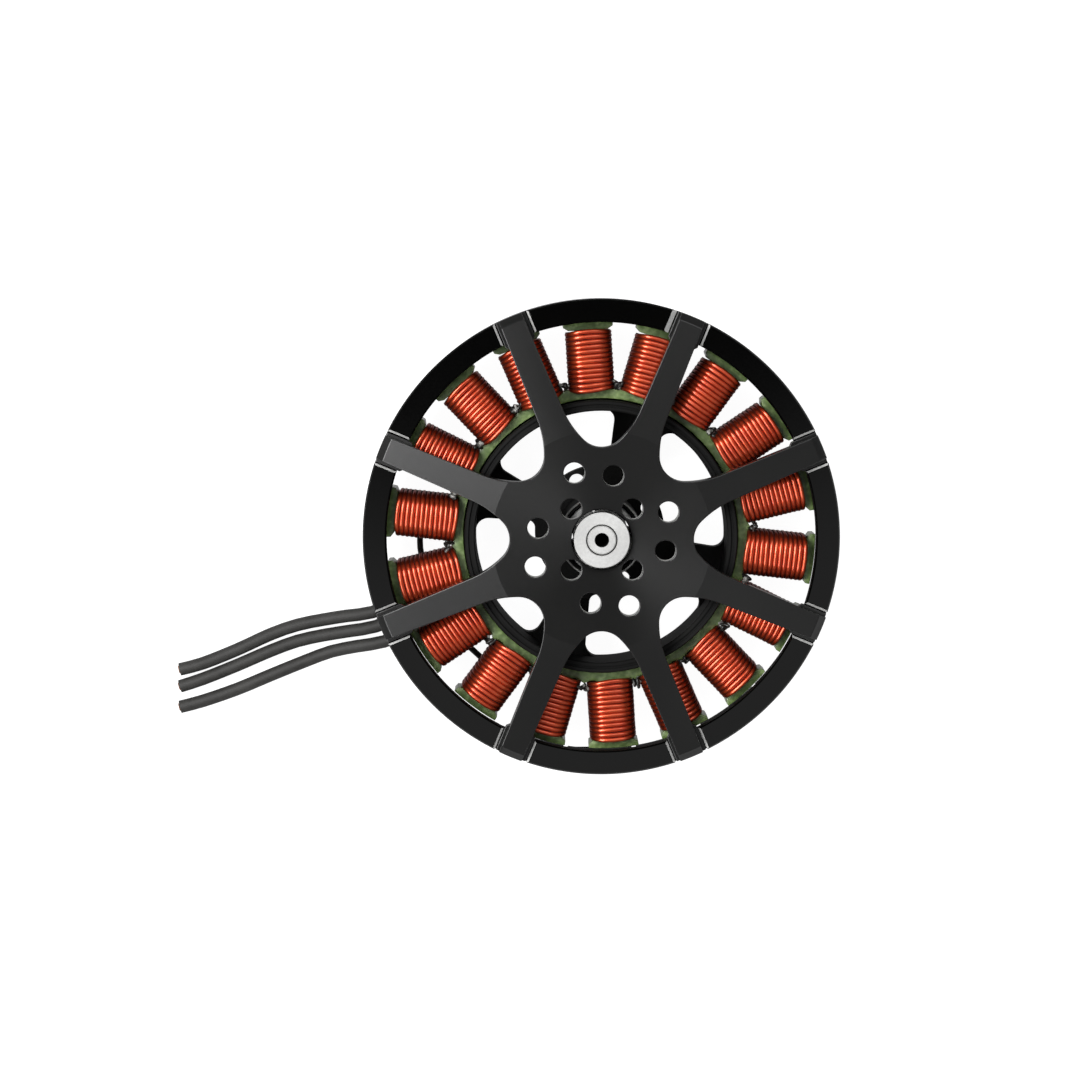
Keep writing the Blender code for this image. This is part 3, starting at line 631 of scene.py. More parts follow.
def makeSpider():
    ribTop = hubTop - spider["armDrop"]
    breakStart = canRadius - spider["rimSlope"]
    breakEnd = breakStart + spider["breakWidth"]
    hubFlat = spider["hubFlatRadius"]
    footBottom = spiderBottom
    under = footBottom + spider["seam"]

    def topOf(radius):
        heights = [hubTop - spider["hubDip"], hubTop, ribTop, ribTop - spider["breakDrop"], ribTop - spider["rimChamfer"]]
        return np.interp(radius, [hubInner, hubFlat, breakStart, breakEnd, canRadius], heights)

    def bottomOf(radius):
        footStart = canRadius - spider["footReach"]
        return np.interp(radius, [spider["windowStart"], footStart], [hubTop - spider["hubThick"], under])

    loops = [spiderLoop(), *holeLoops()]
    cell = spider["cell"]
    hubCircles = np.linspace(hubInner + 2 * mm, hubFlat, 11)[:-1]
    armCircles = np.linspace(hubFlat, breakStart, 17)[1:-1]
    breakCount = round(turn * breakStart / cell * 2)
    inner = np.concatenate([
        innerPoints(loops, [*hubCircles, *armCircles], cell, 0.4 * cell),
        innerPoints(loops, [hubFlat], cell / 2, 0.2 * cell),
        innerPoints(loops, [breakStart, breakEnd], cell / 2, 0.2 * cell, breakCount),
    ])
    creases = (hubFlat, breakStart, breakEnd)
    holes = range(2, len(loops))
    sharp = spider["sharpAngle"]
    plate = sheetMesh("spider_arms", loops, topOf, bottomOf, spider["rounding"], inner, creases, holes, sharp)
    plate.materials.append(spiderMaterial())
    # Walls of the spider's holes take the pale edge material, a painted highlight
    plate.materials.append(edgeMaterial("hole_wall_painted_highlight"))
    footTop = footBottom + spider["footThick"]
    feet = []
    for i in range(spider["arms"]):
        outline = rotated(footOutline(), spider["firstArm"] + turn * i / spider["arms"])
        feet.append(plateMesh(f"foot_{i}", [outline], footBottom, footTop, 0.12 * mm))
    plate = carved(plate, joinedMesh("feet", feet), "UNION", creases, sharp)
    finished("spider_plate", plate, None, "rotor", "spider_alloy", "spider")


def spiderMaterial():
    material, surface = newMaterial("black_anodised_turned")
    place = surface.place()
    radius = surface.radius(place)
    tool = surface.noise(radius, 5200.0, 3.0, 0.65, noise_dimensions="1D")      # turning marks
    cloud = surface.noise(place, 60.0, 3.0)
    speck = surface.noise(place, 2600.0, 2.0)
    surface.shaded({
        "Base Color": surface.ramp(cloud, [(0.3, (0.0010, 0.0010, 0.0009)), (0.7, (0.0022, 0.0022, 0.0020))]),
        "Roughness": 0.33 + tool * 0.04 + cloud * 0.02,
        "Specular IOR Level": 0.27,
        "Anisotropic": 0.77,
        "Anisotropic Rotation": 0.25,
        "Coat Weight": 0.6,
        "Coat Roughness": 0.17,
        "Normal": surface.bump(tool + speck * 0.35, 0.000010, 0.5),
    })
    return material


def edgeMaterial(name):
    # Faces cut after the anodising, bare and bright; on the spider's hole walls the pale colour is also a painted
    # highlight
    material, surface = newMaterial(name)
    grain = surface.noise(surface.place(), 3000.0, 2.0)
    surface.shaded({
        "Base Color": surface.ramp(grain, [(0.3, (0.50, 0.50, 0.49)), (0.7, (0.66, 0.66, 0.64))]),
        "Metallic": 0.3,
        "Roughness": 0.35 + grain * 0.1,
    })
    return material


makeSpider()
print("spider made")


# Can: the black steel ring that holds the magnets
can = {
    "bore": 47.4 * mm,
    "lipThick": 3.4 * mm,
    "lipTrim": 0.5 * mm,            # how far the lip's inner edge is cut back
    "edge": 0.3 * mm,
    "steps": 256,
    "notchChamfer": 0.42 * mm,      # edge of each notch, bare metal, its pale colour a painted highlight
    "chamferSlope": 0.76,           # its depth for each unit of width
    "wideChamfer": 0.95 * mm,       # the one notch that is filed wide
    "wideNotch": 1,                 # counted from the arm at +22.5 degrees
}


def notchMesh(index):
    # A prism along +X with its upper edges flared, turned to its arm
    half = spider["notchWidth"] / 2
    floor = spiderBottom - spider["seam"]
    left = can["wideChamfer"] if index == can["wideNotch"] else can["notchChamfer"]
    right = can["notchChamfer"]
    over, slope = 1.0 * mm, can["chamferSlope"]
    outline = [
        (-half, floor),
        (-half, canFront - right * slope),
        (-half - right - over, canFront + over * slope),
        (half + left + over, canFront + over * slope),
        (half, canFront - left * slope),
        (half, floor),
    ]
    inner, outer = lipInner - 3 * mm, canRadius + 3 * mm
    angle = spider["firstArm"] + turn * index / spider["arms"]
    verts = []
    for x in (inner, outer):
        for y, z in outline:
            verts.append((*rotated([(x, y)], angle)[0], z))
    count = len(outline)
    faces = [tuple(range(count)), tuple(range(2 * count - 1, count - 1, -1))]
    faces += [(i, (i + 1) % count, (i + 1) % count + count, i + count) for i in range(count)]
    mesh = bpy.data.meshes.new("notch")
    mesh.from_pydata(verts, [], faces)
    return cleaned(mesh)


def makeCan():
    edge, bore = can["edge"], can["bore"]
    lipBottom = canFront - can["lipThick"]
    lip = lipInner + can["lipTrim"]
    section = [
        (lip, canFront - edge), (lip + edge, canFront), (canRadius - edge, canFront),
        (canRadius, canFront - edge), (canRadius, canBottom + edge), (canRadius - edge, canBottom),
        (bore + edge, canBottom), (bore, canBottom + edge), (bore, lipBottom), (lip + edge, lipBottom),
        (lip, lipBottom + edge),
    ]
    ring = turnedMesh("flux_ring_fine", section, can["steps"])
    notches = joinedMesh("notches", [notchMesh(i) for i in range(spider["arms"])])
    ring = carved(ring, notches, "DIFFERENCE")
    ring.materials.clear()
    ring.materials.append(canMaterial())
    ring.materials.append(notchHighlightMaterial())
    ring.materials.append(epoxyAndShadeMaterial("black_lip_edge"))
    half = turn / spider["arms"] / 2
    for face in ring.polygons:
        angle = math.atan2(face.center.y, face.center.x) % (2 * half)
        tangent = Vector((-face.center.y, face.center.x, 0.0)).normalized()
        slanted = 0.3 < abs(face.normal.dot(tangent)) < 0.95 and face.normal.z > 0.3 and face.center.z < canFront
        # Slanted faces at the notches take the pale material, a painted highlight
        if slanted and abs(angle - half) < 0.12:
            face.material_index = 1
        elif face.center.xy.length < lip + edge and face.normal.z < 0.5:
            face.material_index = 2
    obj = bpy.data.objects.new("can_ring", ring)
    bpy.context.scene.collection.objects.link(obj)
    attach(obj, "rotor")
    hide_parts("flux_ring")


def canMaterial():
    material, surface = newMaterial("black_coated_steel")
    place = surface.place()
    grain = surface.noise(place, 2200.0, 3.0, 0.6)
    cloud = surface.noise(place, 45.0, 3.0)
    colour = surface.ramp(cloud, [(0.3, (0.0003, 0.0003, 0.0003)), (0.7, (0.0007, 0.0007, 0.0006))])
    surface.shaded({
        "Base Color": colour,
        "Roughness": 0.08 + grain * 0.05,
        "Specular IOR Level": 0.65,
        "Normal": surface.bump(grain, 0.000004, 0.3),
    })
    return material


def notchHighlightMaterial():
    # Pale chamfers at the notches: bare metal, painted paler still as a highlight line
    material, surface = newMaterial("notch_edge_painted_highlight")
    place = surface.place()
    grain = surface.noise(place, 3000.0, 2.0)
    surface.shaded({
        "Base Color": surface.ramp(grain, [(0.3, (0.66, 0.66, 0.65)), (0.7, (0.84, 0.84, 0.82))]),
        "Metallic": 0.55,
        "Roughness": 0.36 + grain * 0.15,
    })
    return material


def epoxyAndShadeMaterial(name):
    # Near-black and matte: the magnets' real epoxy coat and the lip's edge, and painted shade on the boss's sides and
    # in the shaft's centre hole
    material, surface = newMaterial(name)
    place = surface.place()
    grain = surface.noise(place, 1800.0, 3.0)
    stain = surface.noise(place, 220.0, 4.0, 0.6)
    surface.shaded({
        "Base Color": surface.ramp(stain, [(0.3, (0.004, 0.004, 0.004)), (0.7, (0.010, 0.010, 0.010))]),
        "Roughness": 0.55 + stain * 0.2,
        "Specular IOR Level": 0.12,
        "Normal": surface.bump(grain, 0.00002, 0.4),
    })
    return material


makeCan()
print("can made")


# Magnets: black epoxy-coated blocks bonded inside the can
magnet = {
    "count": 20,
    "steps": 10,
    "rounding": 0.25 * mm,
    "setBack": 1.4 * mm,            # how far their faces lie behind those of the solids
    "draft": 0.6 * mm,              # and how much further at their lower end
}


def makeMagnets():
    inner, outer, bottom, top = ringOf("magnet_01")
    inner += magnet["setBack"]
    low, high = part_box("magnet_01")
    half = math.asin(high.y / outer)
    block = arc((0.0, 0.0), outer, -half, half, magnet["steps"])
    block += arc((0.0, 0.0), inner, half, -half, magnet["steps"])
    meshes = []
    for i in range(magnet["count"]):
        outline = rotated(block, turn * i / magnet["count"])
        meshes.append(plateMesh("block", [outline], bottom, top, magnet["rounding"]))
    nodes = [f"magnet_{i + 1:02d}" for i in range(magnet["count"])]
    blocks = joinedMesh("magnet_blocks", meshes)
    for vertex in blocks.vertices:
        radius = vertex.co.xy.length
        if radius < inner + 2 * magnet["rounding"]:
            moved = magnet["draft"] * (top - vertex.co.z) / (top - bottom)
            vertex.co.xy *= 1 + moved / radius
    finished("magnet_blocks", blocks, epoxyAndShadeMaterial("black_epoxy_coat"), "rotor", "magnet", *nodes)


makeMagnets()
print("magnets made")


# Stator core: green-coated laminations
core = {
    "teeth": 18,
    "toothWidth": 4.9 * mm,
    "shoeWidth": 10.4 * mm,
    "shoeCoat": 1.1 * mm,           # how far each shoe reaches beyond the solid, under the can's lip
    "shoeTip": 0.9 * mm,
    "shoeFlare": 1.0 * mm,
    "shoeKnee": 4.2 * mm,           # from the tooth's middle to where the shoe starts to thin
    "yokeWidth": 1.85 * mm,
    "slotFillet": 0.9 * mm,         # lacquer pooled in the corners at the foot of each tooth
    "tongue": 0.75 * mm,            # lacquer drawn up between the windings
    "tongueAngle": 0.017,
    "rounding": 0.2 * mm,
}
coreBore, coreRadius, stackBottom, stackTop = ringOf("stator_core")


def nodeAngle(node):
    points = [v.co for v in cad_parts[node].data.vertices]
    middle = sum(points, Vector()) / len(points)
    return math.atan2(middle.y, middle.x)


def spanAlong(node, angle):
    # Nearest and farthest reach of a node along a direction from the shaft
    direction = Vector((*polar(1.0, angle), 0.0))
    reach = [v.co.dot(direction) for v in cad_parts[node].data.vertices]
    return min(reach), max(reach)


firstTooth = nodeAngle("coil_01")
coilStart, coilEnd = spanAlong("coil_01", firstTooth)
coilHalfWidth = spanAlong("coil_01", firstTooth + math.pi / 2)[1]
coilBottom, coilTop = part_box("coil_01")[0].z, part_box("coil_01")[1].z


def toothSide():
    # Lower side of one tooth along +X, from the middle of its slot to the tip of its shoe
    half = core["toothWidth"] / 2
    halfPitch = turn / core["teeth"] / 2
    yoke = coreBore + core["yokeWidth"]
    fillet = core["slotFillet"]
    faceRadius = coreRadius + core["shoeCoat"]
    tipInner = faceRadius - core["shoeTip"]
    underside = tipInner - core["shoeFlare"]
    tipAngle = math.asin(core["shoeWidth"] / 2 / coreRadius)
    centreY = -half - fillet
    centreX = math.sqrt((yoke + fillet)**2 - centreY**2)
    inward = math.atan2(centreY, centreX)
    tongue, angle = yoke + core["tongue"], core["tongueAngle"]
    side = [
        polar(tongue, -halfPitch),
        polar(tongue - 0.25 * mm, angle - halfPitch),
        polar(yoke + 0.15 * mm, 2 * angle - halfPitch),
    ]
    side += arc((centreX, centreY), fillet, inward + math.pi, math.pi / 2, 6)
    side += [(underside, -half), (underside + 0.05 * mm, -core["shoeKnee"]), polar(tipInner, -tipAngle)]
    return side + arc((0.0, 0.0), faceRadius, -tipAngle, 0.0, 5)


def makeCore():
    side = toothSide()
    tooth = side + mirrored(side[1:-1])
    loop = []
    for i in range(core["teeth"]):
        loop += rotated(tooth, firstTooth + turn * i / core["teeth"])
    bore = arc((0.0, 0.0), coreBore, turn, 0.0, 180)[:-1]
    mesh = sheetMesh(
        "core",
        [np.array(loop), np.array(bore)],
        lambda radius: stackTop,
        lambda radius: stackBottom,
        core["rounding"],
    )
    finished("stator_laminations", mesh, lacquerMaterial(), "stator", "coated_laminations", "stator_core")


def lacquerMaterial():
    material, surface = newMaterial("green_core_lacquer")
    place = surface.place()
    height = surface.node("ShaderNodeSeparateXYZ", None, {"Vector": place}, output="Z")
    layers = surface.node("ShaderNodeMath", {"operation": "SINE"}, {0: height * (turn / (0.35 * mm))})
    pool = surface.noise(place, 160.0, 3.0, 0.55)
    orange = surface.noise(place, 900.0, 3.0, 0.5)
    speck = surface.noise(place, 2400.0, 2.0)
    blend = pool * 0.55 + orange * 0.45
    stops = [(0.30, (0.040, 0.068, 0.016)), (0.50, (0.116, 0.180, 0.052)), (0.68, (0.280, 0.385, 0.150))]
    colour = surface.ramp(blend, stops)
    surface.shaded({
        "Base Color": colour,
        "Roughness": 0.22 + orange * 0.3,
        "Specular IOR Level": 0.6,
        "Coat Weight": 0.35 + pool * 0.3,
        "Coat Roughness": 0.12,
        "Normal": surface.bump(orange + speck * 0.25 + layers * 0.03, 0.00009, 0.6),
    })
    return material


makeCore()
print("core made")


# Windings: thirteen turns of enamelled wire laid round each tooth, in three phases
winding = {
    "turns": 13,
    "wireRadius": 0.49 * mm,
    "wireSides": 10,
    "stepsPerTurn": 40,
    "squareness": 3.8,              # 2 is an ellipse, more is boxier
    "widen": 0.2 * mm,              # beyond the solid on each side
    "valley": 0.12 * mm,            # depth of the grooves between the turns there, down to the near-black inner layers
    "inward": 0.1 * mm,             # beyond it towards the shaft
    "outward": 0.8 * mm,            # and towards the shoe
    "crownSpread": 0.1 * mm,        # how far the turns spread where they cross the stack's ends
    "crownBow": 0.25 * mm,          # and how far the end turns bow out there
    "jitter": 0.05 * mm,
    "sag": 0.08 * mm,
    "lean": 0.10 * mm,
    "endLean": 0.35 * mm,           # the last turn lies askew
    "variants": 3,
    "seed": 7,
}


def squarish(angle, halfWidth, halfHeight):
    # A point on a rounded box round the tooth
    power = 2 / winding["squareness"]
    cosine, sine = math.cos(angle), math.sin(angle)
    y = math.copysign(abs(cosine) ** power, cosine) * halfWidth
    z = math.copysign(abs(sine) ** power, sine) * halfHeight
    return y, z


def windingMesh(variant):
    # One coil along +X as a single wire swept through its turns
    rng = random.Random(winding["seed"] + variant)
    wire, steps, turns = winding["wireRadius"], winding["stepsPerTurn"], winding["turns"]
    halfWidth = coilHalfWidth + winding["widen"] - wire
    halfHeight = (coilTop - coilBottom) / 2 - wire
    start, end = coilStart - winding["inward"], coilEnd + winding["outward"]
    halfLength = (end - start) / 2 - wire
    middle, centre = (coilTop + coilBottom) / 2, (end + start) / 2
    shift, swell, lean = ([rng.uniform(-size, size) for _ in range(turns + 2)] for size in (
        winding["jitter"], winding["sag"], winding["lean"]))
    lean[0] += winding["endLean"] * rng.choice((-1, 1))
    lean[1] += lean[0] * 0.4
    points = []
    for i in range(steps * turns):
        share = i / steps
        whole = int(share)
        part = share - whole
        angle = turn * part - math.pi / 2
        along = 2 * min(max((share - 0.5) / (turns - 1), 0.0), 1.0) - 1
        wander, grow, tip = (row[whole] * (1 - part) + row[whole + 1] * part for row in (shift, swell, lean))
        y, z = squarish(angle, halfWidth + grow * 0.5, halfHeight + grow)
        crown = (abs(z) / halfHeight) ** 4
        spread = along * (halfLength + winding["crownSpread"] * crown)
        bow = winding["crownBow"] * crown * along**3 * (1 - (y / halfWidth) ** 2)
        points.append((centre + spread + bow + wander + tip * crown * y / halfWidth, y, middle + z))
    return sweptMesh(f"coil_wire_{variant}", np.array(points), wire, winding["wireSides"])


def sweptMesh(name, points, radius, sides):
    # A round wire along the points, with closed ends
    ahead = np.gradient(points, axis=0)
    ahead /= np.linalg.norm(ahead, axis=1)[:, None]
    across = np.cross(ahead, np.cross(np.array([1.0, 0.0, 0.0]), ahead))
    across /= np.linalg.norm(across, axis=1)[:, None]
    upward = np.cross(ahead, across)
    verts, faces = [], []
    for i in range(sides):
        angle = turn * i / sides
        verts.append(points + radius * (math.cos(angle) * across + math.sin(angle) * upward))
    verts = np.stack(verts, axis=1).reshape(-1, 3)
    for i in range(len(points) - 1):
        for j in range(sides):
            k = (j + 1) % sides
            faces.append((i * sides + j, i * sides + k, (i + 1) * sides + k, (i + 1) * sides + j))
    faces.append(tuple(range(sides))[::-1])
    last = (len(points) - 1) * sides
    faces.append(tuple(range(last, last + sides)))
    mesh = bpy.data.meshes.new(name)
    mesh.from_pydata(verts.tolist(), [], faces)
    mesh.shade_smooth()
    return mesh


def packingMesh():
    # The inner layers, seen only between the turns, near-black as painted shade
    wire = winding["wireRadius"]
    middle = (coilTop + coilBottom) / 2
    tall = (stackTop - stackBottom) / 2 + 0.12 * mm
    wide = core["toothWidth"] / 2 + 0.12 * mm
    side = coilHalfWidth + winding["widen"] - winding["valley"]
    outer = [squarish(turn * i / 40, side, (coilTop - coilBottom) / 2 - wire) for i in range(40)]
    inner = [squarish(turn * i / 40, wide, tall) for i in range(40)]
    start = coilStart - winding["inward"] + wire * 0.5
    end = coilEnd + winding["outward"] - wire * 0.5
    rings = []
    for x, ring in ((start, inner), (start, outer), (end, outer), (end, inner)):
        rings.append([(x, y, middle + z) for y, z in ring])
    verts = [point for ring in rings for point in ring]
    faces = []
    for i in range(4):
        here, there = i * 40, (i + 1) % 4 * 40
        faces += [(here + j, here + (j + 1) % 40, there + (j + 1) % 40, there + j) for j in range(40)]
    mesh = bpy.data.meshes.new("packing")
    mesh.from_pydata(verts, [], faces)
    return cleaned(mesh)


def copies(name, meshes, angles):
    # The meshes in turn, each turned about the shaft to its own angle, as one mesh
    body = bmesh.new()
    for i, angle in enumerate(angles):
        copy = meshes[i % len(meshes)].copy()
        cosine, sine = math.cos(angle), math.sin(angle)
        for vertex in copy.vertices:
            x, y, z = vertex.co
            vertex.co = (x * cosine - y * sine, x * sine + y * cosine, z)
        body.from_mesh(copy)
        bpy.data.meshes.remove(copy)
    made = bpy.data.meshes.new(name)
    body.to_mesh(made)
    body.free()
    return made


def makeWindings():
    enamel = enamelMaterial()
    dark = packingMaterial()
    variants = [windingMesh(i) for i in range(winding["variants"])]
    packing = packingMesh()
    for phase in range(3):
        teeth = [i for i in range(core["teeth"]) if i % 3 == phase]
        angles = [firstTooth + turn * i / core["teeth"] for i in teeth]
        nodes = [f"coil_{i + 1:02d}" for i in teeth]
        order = variants[phase:] + variants[:phase]
        mesh = copies(f"winding_phase_{phase + 1}", order, angles)
        finished(f"winding_phase_{phase + 1}", mesh, enamel, "stator", "enamelled_wire", *nodes)
        inside = copies(f"winding_layers_{phase + 1}", [packing], angles)
        finished(f"winding_layers_{phase + 1}", inside, dark, "stator", "enamelled_wire")


def enamelMaterial():
    material, surface = newMaterial("enamelled_copper")
    place = surface.place()
    tint = surface.noise(place, 260.0, 3.0, 0.5)
    fine = surface.noise(place, 1900.0, 2.0)
    height = surface.node("ShaderNodeSeparateXYZ", None, {"Vector": place}, output="Z")
    # Height mask, 0 down the coil's sides and 1 on its crown: it darkens the base colour on the sides as painted
    # shade, and thickens the coat on the crown
    crown = surface.node("ShaderNodeMapRange", None, {
        "Value": height,
        "From Min": coilTop - 1.6 * mm,
        "From Max": coilTop - 0.35 * mm,
    })
    colour = surface.ramp(tint * 0.7 + fine * 0.3, [(0.3, (0.52, 0.050, 0.017)), (0.7, (0.70, 0.112, 0.040))])
    surface.shaded({
        "Base Color": colour * surface.ramp(crown, [(0.0, 0.42), (1.0, 1.0)]),
        "Metallic": 0.80,
        "Roughness": 0.27 + fine * 0.05,
        "Specular Tint": (0.42, 0.10, 0.06),
        "Coat Weight": 0.15 + crown * 0.65,
        "Coat Roughness": 0.14,
        "Coat IOR": 1.5,
        "Normal": surface.bump(fine, 0.000003, 0.15),
    })
    return material


def packingMaterial():
    # Near-black copper: painted shade between the turns
    material, surface = newMaterial("inner_layers_painted_shade")
    place = surface.place()
    fine = surface.noise(place, 1200.0, 3.0)
    surface.shaded({
        "Base Color": surface.ramp(fine, [(0.3, (0.016, 0.003, 0.002)), (0.7, (0.055, 0.008, 0.005))]),
        "Roughness": 0.75,
        "Specular IOR Level": 0.1,
    })
    return material


makeWindings()
print("windings made")


# Carrier: the black hub, arms and ring that hold the stator and the bearings
carrier = {
    "tubeWall": 1.0 * mm,
    "discRadius": 13.95 * mm,
    "discThick": 5.0 * mm,
    "arms": 4,
    "firstArm": math.radians(70),
    "armWidth": 5.8 * mm,           # where an arm leaves the disc
    "armFlare": math.radians(14),   # how far each side turns outwards from there
    "armThick": 4.2 * mm,
    "ledge": 1.1 * mm,
    "hubFillet": 1.6 * mm,
    "ringFillet": 2.5 * mm,
    "ringWall": 2.2 * mm,
    "ringGap": 0.3 * mm,            # glue line inside the laminations
    "shoulder": 1.4 * mm,
    "shoulderHeight": 2.0 * mm,
    "grooveWidth": 0.5 * mm,
    "grooveDepth": 0.4 * mm,
    "mountHole": 1.65 * mm,
    "mountCircle": 11.6 * mm,
    "mountStart": math.radians(25),
    "edge": 0.25 * mm,
    "tubeChamfer": 0.36 * mm,       # cut bright after the anodising
    "steps": 144,
}
frontInner, bearingRadius, frontBottom, frontTop = ringOf("front_bearing_outer")
rearBottom, rearTop = ringOf("rear_bearing_outer")[2:]
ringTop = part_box("carrier")[1].z


def carrierOutline(ringInner, ringMiddle):
    # Disc and four arms, with fillets at both ends of each arm
    flare = carrier["armFlare"]
    foot = Vector((carrier["discRadius"], carrier["armWidth"] / 2))
    along, across = Vector(polar(1.0, flare)), Vector(polar(1.0, flare + math.pi / 2))

    def filletCentre(fillet, radius):
        # Centre of a fillet that touches the arm's side, at a distance from the shaft
        base = foot + across * fillet
        half = base.dot(along)
        return base + along * (math.sqrt(half**2 - base.dot(base) + radius**2) - half)

    hubFillet, ringFillet = carrier["hubFillet"], carrier["ringFillet"]
    hub = filletCentre(hubFillet, carrier["discRadius"] + hubFillet)
    ring = filletCentre(ringFillet, ringInner - ringFillet)
    hubAngle, ringAngle = math.atan2(hub.y, hub.x), math.atan2(ring.y, ring.x)
    side = arc(hub, hubFillet, hubAngle - math.pi, flare - math.pi / 2, 10)
    side += arc(ring, ringFillet, flare - math.pi / 2, ringAngle, 10)
    tip = arc((0.0, 0.0), ringMiddle, -ringAngle, ringAngle, 12)
    arm = [(x, -y) for x, y in side] + tip + side[::-1]
    start = math.atan2(side[0][1], side[0][0])
    outline = []
    for i in range(carrier["arms"]):
        angle = carrier["firstArm"] + turn * i / carrier["arms"]
        outline += rotated(arm, angle)
        outline += arc((0.0, 0.0), carrier["discRadius"], angle + start, angle + turn / carrier["arms"] - start, 20)[1:-1]
    return outline


def makeCarrier():
    edge, fit = carrier["edge"], 0.25 * mm
    ringOuter = coreBore - carrier["ringGap"]
    ringInner = ringOuter - carrier["ringWall"]
    ringMiddle = (ringInner + ringOuter) / 2
    shoulderTop = stackBottom - carrier["ringGap"]
    ringBottom = shoulderTop - carrier["shoulderHeight"]
    bore = bearingRadius + fit
    tube = bore + carrier["tubeWall"]
    tubeTop = frontTop + fit
    narrow = bore - 1.5 * mm
    armTop = ringBottom + carrier["armThick"]
    riseStart = carrier["discRadius"] + carrier["ledge"]
    thick, chamfer = carrier["discThick"], carrier["tubeChamfer"]
    section = [
        (bore + edge, tubeTop), (tube - chamfer, tubeTop), (tube, tubeTop - chamfer), (tube, thick + edge),
        (tube + edge, thick), (riseStart, thick), (ringInner, armTop), (ringMiddle, armTop),
        (ringMiddle, ringBottom + 0.3 * mm), (ringInner, ringBottom + 0.3 * mm), (riseStart + 0.3 * mm, 0.0),
        (bore + edge, 0.0), (bore, edge), (bore, rearTop + fit), (narrow, rearTop + fit),
        (narrow, frontBottom - fit), (bore, frontBottom - fit), (bore, tubeTop - edge),
    ]
    body = turnedMesh("carrier_body", section, carrier["steps"])
    star = plateMesh("carrier_star", [carrierOutline(ringInner, ringMiddle)], -5 * mm, 40 * mm)
    body = carved(body, star, "INTERSECT")
    grooveInner = ringMiddle - carrier["grooveWidth"] / 2
    grooveOuter = grooveInner + carrier["grooveWidth"]
    grooveFloor = ringTop - carrier["grooveDepth"]
    shoulder = ringOuter + carrier["shoulder"]
    ring = [
        (ringInner, ringTop - edge), (ringInner + edge, ringTop), (grooveInner - 0.08 * mm, ringTop),
        (grooveInner, ringTop - 0.08 * mm), (grooveInner, grooveFloor), (grooveOuter, grooveFloor),
        (grooveOuter, ringTop - 0.08 * mm), (grooveOuter + 0.08 * mm, ringTop), (ringOuter - edge, ringTop),
        (ringOuter, ringTop - edge), (ringOuter, shoulderTop), (shoulder - edge, shoulderTop),
        (shoulder, shoulderTop - edge), (shoulder, ringBottom + edge), (shoulder - edge, ringBottom),
        (ringInner + edge, ringBottom), (ringInner, ringBottom + edge),
    ]
    body = carved(body, turnedMesh("carrier_ring", ring, carrier["steps"]), "UNION")
    holes = []
    for i in range(4):
        x, y = polar(carrier["mountCircle"], carrier["mountStart"] + turn * i / 4)
        outline = arc((x, y), carrier["mountHole"], 0.0, turn, 32)[:-1]
        holes.append(plateMesh(f"mount_{i}", [outline], -5 * mm, 10 * mm))
    body = carved(body, joinedMesh("mount_holes", holes), "DIFFERENCE")
    body.materials.clear()
    body.materials.append(carrierMaterial())
    body.materials.append(edgeMaterial("bare_tube_edge"))
    for face in body.polygons:
        slanted = 0.3 < face.normal.z < 0.95
        if slanted and face.center.z > tubeTop - chamfer and math.hypot(face.center.x, face.center.y) > tube - chamfer:
            face.material_index = int(math.hypot(face.center.x, face.center.y) < tube)
    finished("stator_carrier", body, None, "stator", "carrier_alloy", "carrier")


def carrierMaterial():
    material, surface = newMaterial("black_anodised_carrier")
    place = surface.place()
    radius = surface.radius(place)
    tool = surface.noise(radius, 3800.0, 3.0, 0.6, noise_dimensions="1D")
    cloud = surface.noise(place, 90.0, 3.0)
    surface.shaded({
        "Base Color": surface.ramp(cloud, [(0.3, (0.0020, 0.0020, 0.0020)), (0.7, (0.0050, 0.0050, 0.0046))]),
        "Roughness": 0.48 + tool * 0.16,
        "Specular IOR Level": 0.14,
        "Anisotropic": 0.5,
        "Anisotropic Rotation": 0.25,
        "Normal": surface.bump(tool, 0.000015, 0.6),
    })
    return material


makeCarrier()
print("carrier made")


# Shaft, propeller boss and bearings
metal = {
    "edge": 0.22 * mm,
    "bossTrim": 0.2 * mm,
    "centreHole": 1.4 * mm,
    "centreDepth": 8.0 * mm,
    "bossShank": 5.2 * mm,
    "bossHead": 1.75 * mm,
    "raceThick": 1.2 * mm,
    "balls": 7,
    "ballRadius": 1.2 * mm,
    "ballGroove": 0.55 * mm,
    "cageWidth": 1.0 * mm,
    "cageHeight": 1.5 * mm,
    "clipSlot": 0.6 * mm,
    "steps": 96,
}


def makeBoss():
    edge = metal["edge"]
    inner, outer, bottom, top = ringOf("prop_boss")
    outer -= metal["bossTrim"]
    shoulder = top - metal["bossHead"] - 1.5 * mm
    shank = metal["bossShank"]
    section = [
        (inner, top - edge / 2), (inner + edge / 2, top), (outer - edge / 2, top), (outer, top - edge / 2),
        (outer, shoulder + edge), (outer - edge, shoulder), (shank, shoulder), (shank, bottom + edge),
        (shank - edge, bottom), (inner, bottom),
    ]
    mesh = turnedMesh("boss", section, metal["steps"])
    mesh.materials.append(turnedMaterial("bright_turned_alloy"))
    mesh.materials.append(epoxyAndShadeMaterial("boss_side_painted_shade"))
    # Side faces of the boss go near-black: painted shade round it
    for face in mesh.polygons:
        face.material_index = int(face.center.xy.length > outer - edge and face.normal.z < 0.5)
    finished("propeller_boss", mesh, None, "rotor", "boss_alloy", "prop_boss")


